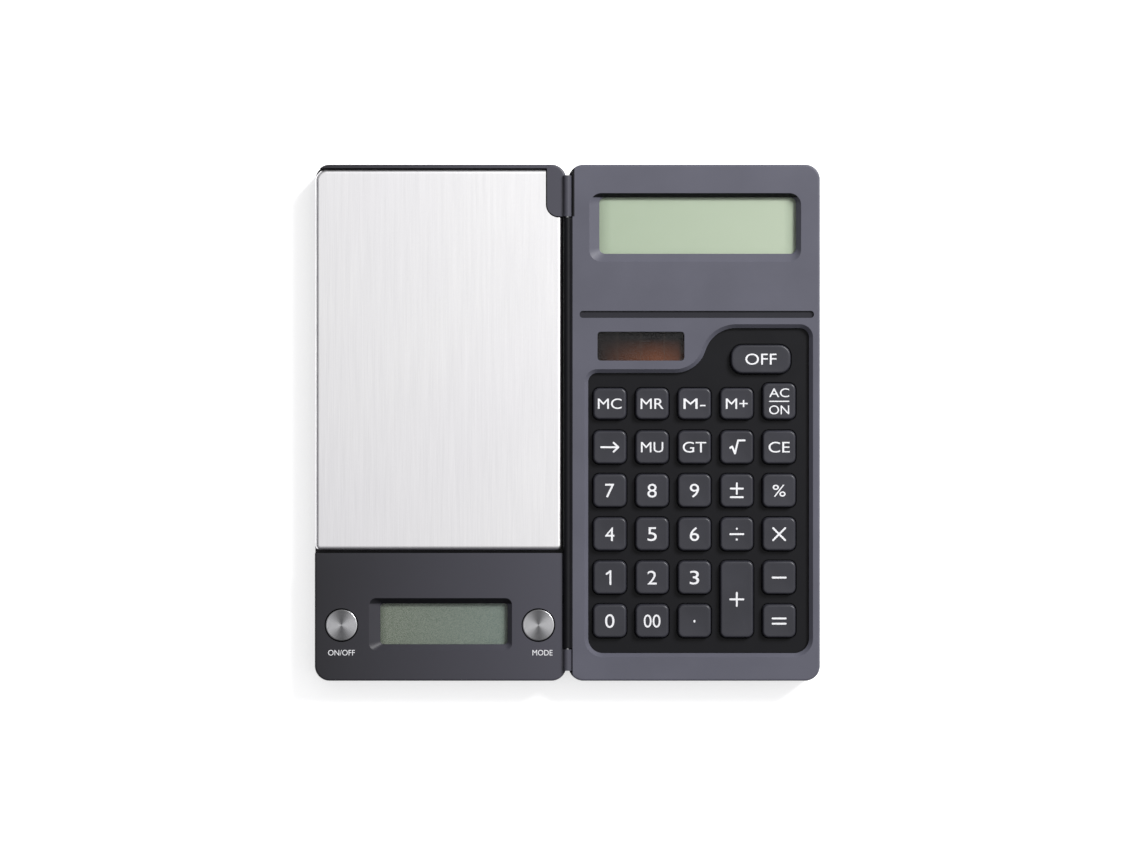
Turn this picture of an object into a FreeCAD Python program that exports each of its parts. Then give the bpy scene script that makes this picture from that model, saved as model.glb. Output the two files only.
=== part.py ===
import FreeCAD, Part
import math
import os
import re
import Sketcher
from FreeCAD import Rotation, Vector

# A folding pocket calculator with a weighing scale in its cover, lying open like a book.
# X runs across the two leaves, Y along the hinge towards the display end, Z up.
# The origin is under the hinge, midway along it, on the surface that the feet stand on.

doc = FreeCAD.newDocument("FoldingCalculator")
sizes = doc.addObject("Spreadsheet::Sheet", "Sizes")

DRIVING_SIZES = [
    # both leaves
    ("leaf_width", 68.0, "hinge axis to the outer edge of a leaf"),
    ("leaf_length", 139.0, "along the hinge"),
    ("leaf_gap", 0.3, "hinge plane to the inner edge of a leaf"),
    ("corner_radius", 4.0, "outline corners"),
    ("foot_height", 0.7, "how far a foot stands out"),
    ("rear_height", 4.3, "rear shell, up to the parting line"),
    ("front_height", 6.0, "front shell, above the parting line"),
    ("wall", 1.5, "side walls"),
    ("floor_thickness", 1.4, "rear shell floor"),
    ("face_thickness", 1.4, "front shell face"),
    ("edge_round", 0.6, "rounding of the upper outline edge"),
    ("base_round", 1.0, "rounding of the lower outline edge"),
    ("slip", 0.1, "clearance of a piece that is dropped into its seat"),
    # hinge
    ("closed_gap", 0.3, "between the faces when shut"),
    ("barrel_radius", 1.1, "hinge barrel"),
    ("pin_radius", 0.5, "hinge pin"),
    ("pin_slip", 0.05, "radial clearance of the pin"),
    ("knuckle_gap", 0.3, "between a knuckle and whatever passes it"),
    ("top_knuckle_inset", 3.0, "end of the leaf to the top knuckle"),
    ("top_knuckle_length", 11.0, "cover leaf's knuckle at the display end"),
    ("low_knuckle_inset", 2.8, "end of the leaf to the low knuckle"),
    ("low_knuckle_length", 5.7, "cover leaf's knuckle at the near end"),
    # screws, posts and feet
    ("boss_radius", 2.4, "boss on the rear floor"),
    ("boss_height", 1.1, "boss above the rear floor"),
    ("post_radius", 1.9, "post under the face"),
    ("screw_radius", 0.9, "shank"),
    ("screw_reach", 4.5, "shank inside the post"),
    ("head_radius", 1.8, "screw head"),
    ("head_height", 1.2, "screw head"),
    ("head_sink", 0.4, "head below the rear face"),
    ("screw_side_inset", 4.6, "leaf edge to a screw"),
    ("screw_end_inset", 4.2, "leaf end to a screw"),
    ("foot_radius", 3.2, "rubber foot"),
    ("foot_seat", 0.2, "depth of the seat a foot is glued in"),
    ("foot_side_inset", 6.5, "leaf edge to a foot"),
    ("foot_end_inset", 11.2, "leaf end to a foot"),
    # calculator display
    ("display_low_x", 5.9, "recess, from the hinge axis"),
    ("display_width", 57.0, "recess"),
    ("display_top_inset", 7.7, "leaf end to the recess"),
    ("display_depth", 18.5, "recess along Y"),
    ("display_corner", 3.2, "recess corners"),
    ("slope_near", 2.7, "sloped wall on the hinge side"),
    ("slope_far", 1.3, "sloped wall on the outer side"),
    ("slope_low", 2.2, "sloped wall on the key side"),
    ("slope_top", 1.1, "sloped wall at the end"),
    ("slope_drop", 1.3, "how deep the sloped walls go"),
    ("window_land", 0.3, "straight lip under a slope"),
    ("lens_lap", 1.1, "lens past its opening, each side"),
    ("lens_thickness", 0.8, "clear lens"),
    ("glass_thickness", 1.3, "display glass"),
    ("strip_depth", 1.6, "zebra strip along Y"),
    ("frame_lap", 2.0, "thickened frame past a recess"),
    ("frame_drop", 1.4, "frame below the ceiling"),
    # decorative groove
    ("groove_inset", 41.3, "leaf end to the groove"),
    ("groove_width", 1.9, "groove"),
    ("groove_drop", 0.6, "groove"),
    ("groove_side", 3.3, "leaf edge to the groove's end"),
    # keys
    ("key_pitch_x", 11.4, "column spacing"),
    ("key_pitch_y", 11.7, "row spacing"),
    ("first_column", 11.4, "hinge axis to the first column"),
    ("last_row_inset", 16.1, "near end to the last row"),
    ("key_width", 9.2, "standard key"),
    ("key_depth", 9.2, "standard key"),
    ("memory_key_depth", 8.7, "keys of the memory row"),
    ("clear_key_depth", 10.0, "clear key"),
    ("off_key_width", 16.4, "off key"),
    ("off_key_depth", 8.0, "off key"),
    ("off_key_x", 52.1, "off key centre from the hinge axis"),
    ("off_key_rise", 12.0, "off key centre above the memory row"),
    ("key_corner", 1.8, "key corners"),
    ("off_key_corner", 3.2, "off key corners"),
    ("key_slip", 0.2, "gap between a key and its hole"),
    ("key_sink", 0.2, "key tops below the face"),
    ("key_draft", 4.0, "degrees of draft on a key"),
    ("key_round", 0.5, "rounding of a key's top edge"),
    ("flange_lap", 0.6, "retaining flange past the key"),
    ("flange_thickness", 0.6, "retaining flange"),
    ("flange_gap", 0.2, "flange below the well floor"),
    ("stem_radius", 1.6, "plunger under a key"),
    # key well
    ("well_drop", 2.0, "well floor below the face"),
    ("well_bevel", 1.0, "bevel along the well's rim"),
    ("well_floor", 1.0, "well floor thickness"),
    ("well_near", 5.8, "first column to the hinge-side wall"),
    ("well_far", 8.1, "last column to the outer wall"),
    ("well_low", 8.7, "last row to the near wall"),
    ("well_step", 8.3, "memory row to the wall left of the off key"),
    ("well_rise", 12.1, "step up to the wall above the off key"),
    ("well_curve_x", 29.0, "start of the curved step from the hinge axis"),
    ("well_curve_run", 16.4, "length of the curved step"),
    ("well_corner", 4.0, "near corners"),
    ("well_top_corner", 2.5, "far corners"),
    # solar cell
    ("solar_low_x", 8.1, "window from the hinge axis"),
    ("solar_width", 23.4, "window"),
    ("solar_depth", 7.8, "window"),
    ("solar_rise", 3.3, "window above the well's lower wall"),
    ("solar_corner", 0.9, "window corners"),
    ("solar_sink", 0.8, "face above the lens"),
    ("solar_lap", 1.0, "cell past its window"),
    ("solar_thickness", 1.2, "cell"),
    # board, mat and button cell
    ("board_thickness", 1.0, "circuit boards"),
    ("board_slip", 0.7, "board to the walls"),
    ("mat_thickness", 0.6, "web of the silicone mats"),
    ("dome_height", 1.4, "domes above the web"),
    ("dome_radius", 3.4, "domes"),
    ("dome_draft", 25.0, "degrees of draft on a dome"),
    ("button_cell_radius", 5.8, "cell"),
    ("button_cell_height", 3.05, "cell"),
    ("button_cell_x", 34.0, "cell from the hinge axis"),
    ("button_cell_inset", 36.0, "leaf end to the cell"),
    ("contact_thickness", 0.2, "spring strip"),
    ("contact_width", 4.0, "spring strip"),
    # weighing platform
    ("plate_edge", 0.1, "leaf edge to the plate's lip"),
    ("plate_hinge_gap", 0.35, "plate to the hinge barrel"),
    ("plate_inset", 1.3, "leaf end to the plate"),
    ("plate_gap", 0.3, "plate to the rim"),
    ("plate_length", 102.5, "plate along Y"),
    ("plate_low_gap", 0.8, "plate to the control panel"),
    ("plate_corner", 1.3, "plate corners"),
    ("plate_outer_corner", 3.0, "plate corner at the leaf's outer corner"),
    ("plate_sink", 0.2, "plate below the face"),
    ("plate_thickness", 0.6, "sheet"),
    ("plate_round", 1.1, "bend of the lips"),
    ("lip_drop", 1.9, "lips below the top of the plate"),
    ("deck_drop", 2.8, "deck below the face"),
    ("deck_thickness", 1.2, "deck"),
    ("notch_width", 5.8, "plate notch from the hinge axis"),
    ("notch_gap", 0.3, "plate notch to the knuckle block"),
    ("notch_corner", 3.2, "inside corner of the notch"),
    # load cell and bracket
    ("beam_length", 42.0, "load cell"),
    ("beam_width", 9.0, "load cell"),
    ("beam_height", 3.8, "load cell"),
    ("beam_lift", 0.8, "boss under the fixed end"),
    ("beam_foot", 10.0, "boss along Y"),
    ("beam_hole", 1.4, "radius of the flexure holes"),
    ("beam_hole_span", 12.0, "between the flexure holes"),
    ("neck_length", 9.0, "bracket neck"),
    ("neck_gap", 1.2, "neck to its opening"),
    ("spider_width", 44.0, "bracket plate"),
    ("spider_length", 70.0, "bracket plate"),
    ("spider_thickness", 0.8, "bracket plate"),
    # scale display
    ("scale_display_near", 14.9, "recess, from the hinge axis"),
    ("scale_display_width", 38.5, "recess"),
    ("scale_display_inset", 8.3, "near end to the recess"),
    ("scale_display_depth", 14.0, "recess along Y"),
    ("scale_slope_side", 1.2, "sloped walls at the sides"),
    ("scale_slope_outer", 3.0, "sloped wall on the outer side"),
    ("scale_slope_end", 1.5, "sloped walls at the ends"),
    ("scale_display_corner", 1.8, "recess corners"),
    ("scale_glass_thickness", 1.2, "display glass"),
    # scale buttons
    ("scale_button_radius", 4.35, "button"),
    ("scale_button_near", 7.8, "button from the hinge axis"),
    ("scale_button_far", 60.8, "button from the hinge axis"),
    ("scale_button_inset", 15.0, "near end to the buttons"),
    ("scale_button_sink", 0.1, "button below the face"),
    ("scale_button_round", 0.4, "button edge"),
    # coin cells and door
    ("coin_radius", 10.0, "coin cell"),
    ("coin_height", 3.2, "coin cell"),
    ("coin_gap", 2.0, "between the two cells"),
    ("coin_slip", 0.6, "cell to its compartment"),
    ("coin_center_x", 34.5, "compartment from the hinge axis"),
    ("coin_inset", 13.3, "near end to the cells"),
    ("bay_wall", 2.2, "compartment wall"),
    ("scale_board_lift", 0.3, "board above the cells"),
    ("door_thickness", 1.2, "door"),
    ("door_lap", 1.2, "door past the compartment"),
    ("door_tongue", 1.0, "side tongue"),
    ("door_tongue_height", 0.6, "side tongue"),
    ("door_ridge", 0.8, "finger ridges"),
]

for row, (name, number, note) in enumerate(DRIVING_SIZES, start=1):
    sizes.set(f"A{row}", name)
    sizes.set(f"B{row}", str(number))
    sizes.setAlias(f"B{row}", name)
    sizes.set(f"C{row}", note)
doc.recompute()

SIZE_NAMES = {name for name, _, _ in DRIVING_SIZES}
finished = []


def bound(text):
    """The text as an expression on the sheet: every size name gets the sheet's prefix."""
    return re.sub(r"[a-z][a-z_]+", lambda word: "Sizes." + word.group() if word.group() in SIZE_NAMES
                  else word.group(), text)


def number_of(text):
    """What an expression on the sheet comes to, in millimetres."""
    result = sizes.evalExpression(bound(text))
    return float(getattr(result, "Value", result))


# Heights that both leaves share.
PARTING = "(foot_height + rear_height)"
FACE = "(foot_height + rear_height + front_height)"
CEILING = f"({FACE} - face_thickness)"
FLOOR = "(foot_height + floor_thickness)"
BOSS_TOP = f"({FLOOR} + boss_height)"
AXIS = f"({FACE} + closed_gap / 2)"
TOP = "(leaf_length / 2)"
LOW = "(-leaf_length / 2)"


def new_body(name):
    return doc.addObject("PartDesign::Body", name)


def new_sketch(body, name, offset, role="XY_Plane"):
    """A sketch on one of the body's own planes, moved along that plane's normal."""
    sketch = body.newObject("Sketcher::SketchObject", name)
    plane = next(feature for feature in body.Origin.OriginFeatures if feature.Role == role)
    sketch.AttachmentSupport = (plane, [""])
    sketch.MapMode = "FlatFace"
    sketch.setExpression("AttachmentOffset.Base.z", bound(offset))
    return sketch


def dimension(sketch, name, text, kind, *ends):
    """One dimension of a sketch, tied to the sheet."""
    index = sketch.addConstraint(Sketcher.Constraint(kind, *ends, number_of(text)))
    sketch.renameConstraint(index, name)
    sketch.setExpression("Constraints." + name, bound(text))


def place_point(sketch, name, geometry, end, x_text, y_text):
    dimension(sketch, name + "_x", x_text, "DistanceX", -1, 1, geometry, end)
    dimension(sketch, name + "_y", y_text, "DistanceY", -1, 1, geometry, end)


def rounded_box(sketch, low_x, high_x, low_y, high_y, radius):
    """A rectangle with four equal round corners."""
    x0, x1, y0, y1, r = [number_of(text) for text in (low_x, high_x, low_y, high_y, radius)]
    first = sketch.GeometryCount

    def corner(x, y, quarter):
        circle = Part.Circle(Vector(x, y, 0), Vector(0, 0, 1), r)
        return Part.ArcOfCircle(circle, quarter * math.pi / 2, (quarter + 1) * math.pi / 2)

    sketch.addGeometry([
        Part.LineSegment(Vector(x0 + r, y0, 0), Vector(x1 - r, y0, 0)),
        corner(x1 - r, y0 + r, 3),
        Part.LineSegment(Vector(x1, y0 + r, 0), Vector(x1, y1 - r, 0)),
        corner(x1 - r, y1 - r, 0),
        Part.LineSegment(Vector(x1 - r, y1, 0), Vector(x0 + r, y1, 0)),
        corner(x0 + r, y1 - r, 1),
        Part.LineSegment(Vector(x0, y1 - r, 0), Vector(x0, y0 + r, 0)),
        corner(x0 + r, y0 + r, 2),
    ])
    rules = [Sketcher.Constraint("Tangent", first + side, 2, first + (side + 1) % 8, 1) for side in range(8)]
    rules += [Sketcher.Constraint("Horizontal", first + side) for side in (0, 4)]
    rules += [Sketcher.Constraint("Vertical", first + side) for side in (2, 6)]
    rules += [Sketcher.Constraint("Equal", first + 1, first + side) for side in (3, 5, 7)]
    sketch.addConstraint(rules)
    dimension(sketch, f"low_y_{first}", low_y, "DistanceY", -1, 1, first, 1)
    dimension(sketch, f"high_x_{first}", high_x, "DistanceX", -1, 1, first + 2, 1)
    dimension(sketch, f"high_y_{first}", high_y, "DistanceY", -1, 1, first + 4, 1)
    dimension(sketch, f"low_x_{first}", low_x, "DistanceX", -1, 1, first + 6, 1)
    dimension(sketch, f"radius_{first}", radius, "Radius", first + 1)


def sharp_box(sketch, low_x, high_x, low_y, high_y):
    """A plain rectangle."""
    x0, x1, y0, y1 = [number_of(text) for text in (low_x, high_x, low_y, high_y)]
    first = sketch.GeometryCount
    points = [Vector(x0, y0, 0), Vector(x1, y0, 0), Vector(x1, y1, 0), Vector(x0, y1, 0)]
    sketch.addGeometry([Part.LineSegment(points[side], points[(side + 1) % 4]) for side in range(4)])
    rules = [Sketcher.Constraint("Coincident", first + side, 2, first + (side + 1) % 4, 1)
             for side in range(4)]
    rules += [Sketcher.Constraint("Horizontal", first + side) for side in (0, 2)]
    rules += [Sketcher.Constraint("Vertical", first + side) for side in (1, 3)]
    sketch.addConstraint(rules)
    place_point(sketch, f"low_{first}", first, 1, low_x, low_y)
    place_point(sketch, f"high_{first}", first + 1, 2, high_x, high_y)


def circle(sketch, x, y, radius):
    first = sketch.GeometryCount
    center = Vector(number_of(x), number_of(y), 0)
    sketch.addGeometry(Part.Circle(center, Vector(0, 0, 1), number_of(radius)))
    place_point(sketch, f"center_{first}", first, 3, x, y)
    dimension(sketch, f"radius_{first}", radius, "Radius", first)


def pad(sketch, length, draft=None):
    """Material from the sketch along its normal; draft narrows it by that many degrees."""
    feature = sketch.getParentGeoFeatureGroup().newObject("PartDesign::Pad", sketch.Name + "Pad")
    feature.Profile = sketch
    feature.setExpression("Length", bound(length))
    if draft:
        feature.setExpression("TaperAngle", bound(f"-({draft})"))
    return feature


def pocket(sketch, depth, along_normal=False):
    """A cut from the sketch against its normal, or along it."""
    feature = sketch.getParentGeoFeatureGroup().newObject("PartDesign::Pocket", sketch.Name + "Pocket")
    feature.Profile = sketch
    feature.Reversed = along_normal
    feature.setExpression("Length", bound(depth))
    return feature


def level_face(feature, height):
    """The name of the feature's flat face at that height."""
    doc.recompute()
    level = number_of(height)
    faces = feature.Shape.Faces
    flat = [index for index, face in enumerate(faces, start=1)
            if face.BoundBox.ZLength < 1e-6 and abs(face.BoundBox.ZMin - level) < 1e-6]
    return f"Face{max(flat, key=lambda index: faces[index - 1].Area)}"


def upright_edge(feature, x, y):
    """The name of the feature's upright edge at a place."""
    doc.recompute()
    place_x, place_y = number_of(x), number_of(y)
    for index, edge in enumerate(feature.Shape.Edges, start=1):
        box = edge.BoundBox
        spread = max(box.XMax - place_x, place_x - box.XMin, box.YMax - place_y, place_y - box.YMin)
        if spread < 1e-6:
            return f"Edge{index}"


def round_edges(feature, names, radius):
    body = feature.getParentGeoFeatureGroup()
    rounding = body.newObject("PartDesign::Fillet", feature.Name + "Round")
    rounding.Base = (feature, names)
    rounding.setExpression("Radius", bound(radius))
    doc.recompute()
    return rounding


def bevel_rim(feature, height, low_x, high_x, low_y, high_y, size):
    """A bevel along the edges that lie at that height inside a rectangle."""
    doc.recompute()
    level, x0, x1, y0, y1 = (number_of(text) for text in (height, low_x, high_x, low_y, high_y))
    reach = Part.makeBox(x1 - x0 + 0.02, y1 - y0 + 0.02, 0.02, Vector(x0 - 0.01, y0 - 0.01, level - 0.01))
    names = [f"Edge{index}" for index, edge in enumerate(feature.Shape.Edges, start=1)
             if reach.BoundBox.isInside(edge.BoundBox)]
    body = feature.getParentGeoFeatureGroup()
    bevel = body.newObject("PartDesign::Chamfer", feature.Name + "Bevel")
    bevel.Base = (feature, names)
    bevel.setExpression("Size", bound(size))
    doc.recompute()
    return bevel


def finish_part(piece, label):
    """Give a sub-part the name of its node."""
    piece.Label = label
    finished.append(piece)
    return piece


def place(piece, x, y, z):
    for axis, text in zip("xyz", (x, y, z)):
        piece.setExpression("Placement.Base." + axis, bound(text))


def block(name, low_x, high_x, low_y, high_y, low_z, high_z):
    piece = doc.addObject("Part::Box", name)
    place(piece, low_x, low_y, low_z)
    piece.setExpression("Length", bound(f"({high_x}) - ({low_x})"))
    piece.setExpression("Width", bound(f"({high_y}) - ({low_y})"))
    piece.setExpression("Height", bound(f"({high_z}) - ({low_z})"))
    return piece


def disc(name, x, y, low_z, radius, height):
    piece = doc.addObject("Part::Cylinder", name)
    place(piece, x, y, low_z)
    piece.setExpression("Radius", bound(radius))
    piece.setExpression("Height", bound(height))
    return piece


def group(label, pieces):
    """Like pieces, or the loose pieces of one item, kept as separate solids in one sub-part."""
    compound = doc.addObject("Part::Compound", label.title().replace("_", ""))
    compound.Links = pieces
    return finish_part(compound, label)


def between(side, near, far):
    """Low and high X of something that lies from near to far of the hinge axis, on one side of it."""
    return (near, far) if side > 0 else (f"-({far})", f"-({near})")


def across(side, distance):
    return distance if side > 0 else f"-({distance})"


# ---------------------------------------------------------------- shells of both leaves

def screw_places(side, middle_inset):
    """Two screws at each end of a leaf and two along it."""
    near = across(side, "leaf_gap + screw_side_inset")
    far = across(side, "leaf_width - screw_side_inset")
    rows = (f"{TOP} - screw_end_inset", middle_inset, f"{LOW} + screw_end_inset")
    return [(x, y) for y in rows for x in (near, far)]


def foot_places(side):
    near = across(side, "leaf_gap + foot_side_inset")
    far = across(side, "leaf_width - foot_side_inset")
    return [(x, y) for y in (f"{TOP} - foot_end_inset", f"{LOW} + foot_end_inset") for x in (near, far)]


def circles(body, name, offset, places, radius):
    sketch = new_sketch(body, name, offset)
    for x, y in places:
        circle(sketch, x, y, radius)
    return sketch


def leaf_outline(body, name, side, offset, inset="0"):
    """A leaf's outline, drawn inwards by the inset."""
    sketch = new_sketch(body, name, offset)
    low_x, high_x = between(side, f"leaf_gap + {inset}", f"leaf_width - {inset}")
    rounded_box(sketch, low_x, high_x, f"{LOW} + {inset}", f"{TOP} - {inset}", f"corner_radius - {inset}")
    return sketch


def rear_shell(name, side, screws):
    """A shallow tray with screw bosses, counterbores and seats for the feet."""
    body = new_body(name)
    tray = pad(leaf_outline(body, name + "Outline", side, "foot_height"), "rear_height")
    round_edges(tray, [level_face(tray, "foot_height")], "base_round")
    pocket(leaf_outline(body, name + "Inside", side, PARTING, "wall"), "rear_height - floor_thickness")
    pad(circles(body, name + "Bosses", FLOOR, screws, "boss_radius"), "boss_height")
    holes = circles(body, name + "Holes", BOSS_TOP, screws, "screw_radius + slip")
    pocket(holes, "boss_height + floor_thickness")
    bores = circles(body, name + "Bores", "foot_height", screws, "head_radius + 2 * slip")
    pocket(bores, "head_sink + head_height", along_normal=True)
    seats = circles(body, name + "Seats", "foot_height", foot_places(side), "foot_radius + slip")
    pocket(seats, "foot_seat", along_normal=True)
    return body


def screw_posts(body, name, screws, ceiling):
    """Posts that hang from the ceiling onto the rear bosses, each with a pilot hole."""
    pad(circles(body, name + "Posts", BOSS_TOP, screws, "post_radius"), f"{ceiling} - {BOSS_TOP} + slip")
    pilots = circles(body, name + "Pilots", BOSS_TOP, screws, "screw_radius + slip / 2")
    pocket(pilots, "screw_reach + slip", along_normal=True)


def screws_of(label, screws):
    """Pan-head screws, put in from below."""
    pieces = []
    head_top = "foot_height + head_sink + head_height"
    for count, (x, y) in enumerate(screws):
        stem = label.title().replace("_", "") + str(count)
        head = disc(stem + "Head", x, y, "foot_height + head_sink", "head_radius", "head_height")
        shank = disc(stem + "Shank", x, y, head_top, "screw_radius",
                     f"{BOSS_TOP} + screw_reach - ({head_top})")
        screw = doc.addObject("Part::MultiFuse", stem)
        screw.Shapes = [head, shank]
        pieces.append(screw)
    group(label, pieces)


def feet_of(label, side):
    name = label.title().replace("_", "")
    height = "foot_height + foot_seat"
    group(label, [disc(f"{name}{count}", x, y, "0", "foot_radius", height)
                  for count, (x, y) in enumerate(foot_places(side))])


def barrel(body, name, high_y, low_y, radius, cut=False):
    """A round bar along the hinge axis between two places, added to the body or cut from it."""
    sketch = new_sketch(body, name, f"-({high_y})", role="XZ_Plane")
    circle(sketch, "0", AXIS, radius)
    if cut:
        return pocket(sketch, f"({high_y}) - ({low_y})", along_normal=True)
    return pad(sketch, f"({high_y}) - ({low_y})")


TOP_KNUCKLE_HIGH = f"({TOP} - top_knuckle_inset)"
TOP_KNUCKLE_LOW = f"({TOP} - top_knuckle_inset - top_knuckle_length)"
LOW_KNUCKLE_LOW = f"({LOW} + low_knuckle_inset)"
LOW_KNUCKLE_HIGH = f"({LOW} + low_knuckle_inset + low_knuckle_length)"
BARREL_HIGH = f"({TOP_KNUCKLE_LOW} - knuckle_gap)"
BARREL_LOW = f"({LOW_KNUCKLE_HIGH} + knuckle_gap)"


def inner_edges(opening, slopes):
    """The edges of a window's opening: those of its recess, each drawn in by its slope's width."""
    return [f"{edge} {sign} {slope}" for edge, sign, slope in zip(opening, "+-+-", slopes)]


def window(body, name, opening, slopes, corner, under):
    """A sloped recess down to an opening, with a seat for a lens behind it.

    opening is the recess's low x, high x, low y and high y at the face; slopes are the widths of
    its four walls in that order; under is the underside of the material around it.
    """
    outer = new_sketch(body, name + "Rim", FACE)
    rounded_box(outer, *opening, corner)
    edges = inner_edges(opening, slopes)
    inner = new_sketch(body, name + "Opening", f"{FACE} - slope_drop")
    rounded_box(inner, *edges, f"{corner} / 2")
    recess = body.newObject("PartDesign::SubtractiveLoft", name + "Slope")
    recess.Profile = outer
    recess.Sections = [inner]
    land = new_sketch(body, name + "Land", f"{FACE} - slope_drop")
    rounded_box(land, *edges, f"{corner} / 2")
    pocket(land, "window_land")
    seat = new_sketch(body, name + "Seat", under)
    seat_edges = [f"{edge} {sign} (lens_lap + slip)" for edge, sign in zip(edges, "-+-+")]
    rounded_box(seat, *seat_edges, corner)
    pocket(seat, f"{FACE} - slope_drop - window_land - ({under})", along_normal=True)


def pane(name, edges, lap, corner, top, thickness):
    """A flat pane with round corners, behind an opening and larger than it by the lap."""
    body = new_body(name)
    signs = ("-", "+", "-", "+")
    sketch = new_sketch(body, name + "Outline", f"{top} - {thickness}")
    rounded_box(sketch, *[f"{edge} {sign} {lap}" for edge, sign in zip(edges, signs)], corner)
    pad(sketch, thickness)
    return body


# ---------------------------------------------------------------- keys of the calculator

def column(index):
    return f"first_column + {index} * key_pitch_x"


def row_y(index):
    """Rows are counted from the memory row, 0, to the row nearest the user, 5."""
    return f"{LOW} + last_row_inset + {5 - index} * key_pitch_y"


KEY_ROWS = [
    ["mc", "mr", "m_minus", "m_plus", "ac_on"],
    ["backspace", "mu", "gt", "root", "ce"],
    ["7", "8", "9", "sign", "percent"],
    ["4", "5", "6", "divide", "times"],
    ["1", "2", "3", None, "minus"],
    ["0", "00", "point", None, "equals"],
]


def key_table():
    """Every key: node name, centre, width, depth, corner radius, and the row that its hole is cut with."""
    table = []
    for row, names in enumerate(KEY_ROWS):
        for index, name in enumerate(names):
            if name is None:
                continue
            depth = "memory_key_depth" if row == 0 else "key_depth"
            y = row_y(row)
            if name == "ac_on":
                y = f"{y} + (clear_key_depth - memory_key_depth) / 2"
                depth = "clear_key_depth"
            table.append((f"key_{name}", column(index), y, "key_width", depth, "key_corner", row))
    plus_y = f"{row_y(5)} + key_pitch_y / 2"
    table.append(("key_plus", column(3), plus_y, "key_width", "(key_depth + key_pitch_y)", "key_corner", 5))
    off_y = f"{row_y(0)} + off_key_rise"
    table.append(("key_off", "off_key_x", off_y, "off_key_width", "off_key_depth", "off_key_corner", 6))
    return table


KEYS = key_table()
BOARD_TOP = f"({BOSS_TOP} + board_thickness)"
MAT_TOP = f"({BOARD_TOP} + mat_thickness)"
WELL_FLOOR = f"({FACE} - well_drop)"
WELL_UNDER = f"({FACE} - well_drop - well_floor)"
FLANGE_TOP = f"({WELL_UNDER} - flange_gap)"
FLANGE_LOW = f"({FLANGE_TOP} - flange_thickness)"


def key_outline(sketch, key, lap):
    _, x, y, width, depth, corner, _ = key
    rounded_box(sketch, f"{x} - {width} / 2 - ({lap})", f"{x} + {width} / 2 + ({lap})",
                f"{y} - {depth} / 2 - ({lap})", f"{y} + {depth} / 2 + ({lap})", f"{corner} + ({lap})")


def make_key(key):
    """A drafted cap on a retaining flange, with a plunger that rests on its dome."""
    label, x, y = key[:3]
    name = label.title().replace("_", "")
    body = new_body(name)
    flange = new_sketch(body, name + "Flange", FLANGE_LOW)
    key_outline(flange, key, "flange_lap")
    pad(flange, "flange_thickness")
    cap = new_sketch(body, name + "Cap", FLANGE_TOP)
    key_outline(cap, key, "0")
    cap_pad = pad(cap, f"{FACE} - key_sink - {FLANGE_TOP}", draft="key_draft")
    round_edges(cap_pad, [level_face(cap_pad, f"{FACE} - key_sink")], "key_round")
    plunger = new_sketch(body, name + "Plunger", f"{MAT_TOP} + dome_height")
    circle(plunger, x, y, "stem_radius")
    pad(plunger, f"{FLANGE_LOW} - {MAT_TOP} - dome_height")
    finish_part(body, label)


for key in KEYS:
    make_key(key)


# ---------------------------------------------------------------- calculator leaf

CALC_SCREWS = screw_places(1, f"{TOP} - display_top_inset - display_depth - frame_lap - post_radius - 2")
WELL_LOW_X = "(first_column - well_near)"
WELL_HIGH_X = "(first_column + 4 * key_pitch_x + well_far)"
WELL_LOW_Y = f"({row_y(5)} - well_low)"
WELL_STEP_Y = f"({row_y(0)} + well_step)"
WELL_TOP_Y = f"({row_y(0)} + well_step + well_rise)"
SOLAR = ("solar_low_x", "solar_low_x + solar_width", f"{WELL_STEP_Y} + solar_rise",
         f"{WELL_STEP_Y} + solar_rise + solar_depth")
SOLAR_LENS_TOP = f"({FACE} - solar_sink)"
DISPLAY = ("display_low_x", "display_low_x + display_width",
           f"{TOP} - display_top_inset - display_depth", f"{TOP} - display_top_inset")
DISPLAY_SLOPES = ("slope_near", "slope_far", "slope_low", "slope_top")
FRAME_UNDER = f"({CEILING} - frame_drop)"
LENS_TOP = f"({FACE} - slope_drop - window_land)"


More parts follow.
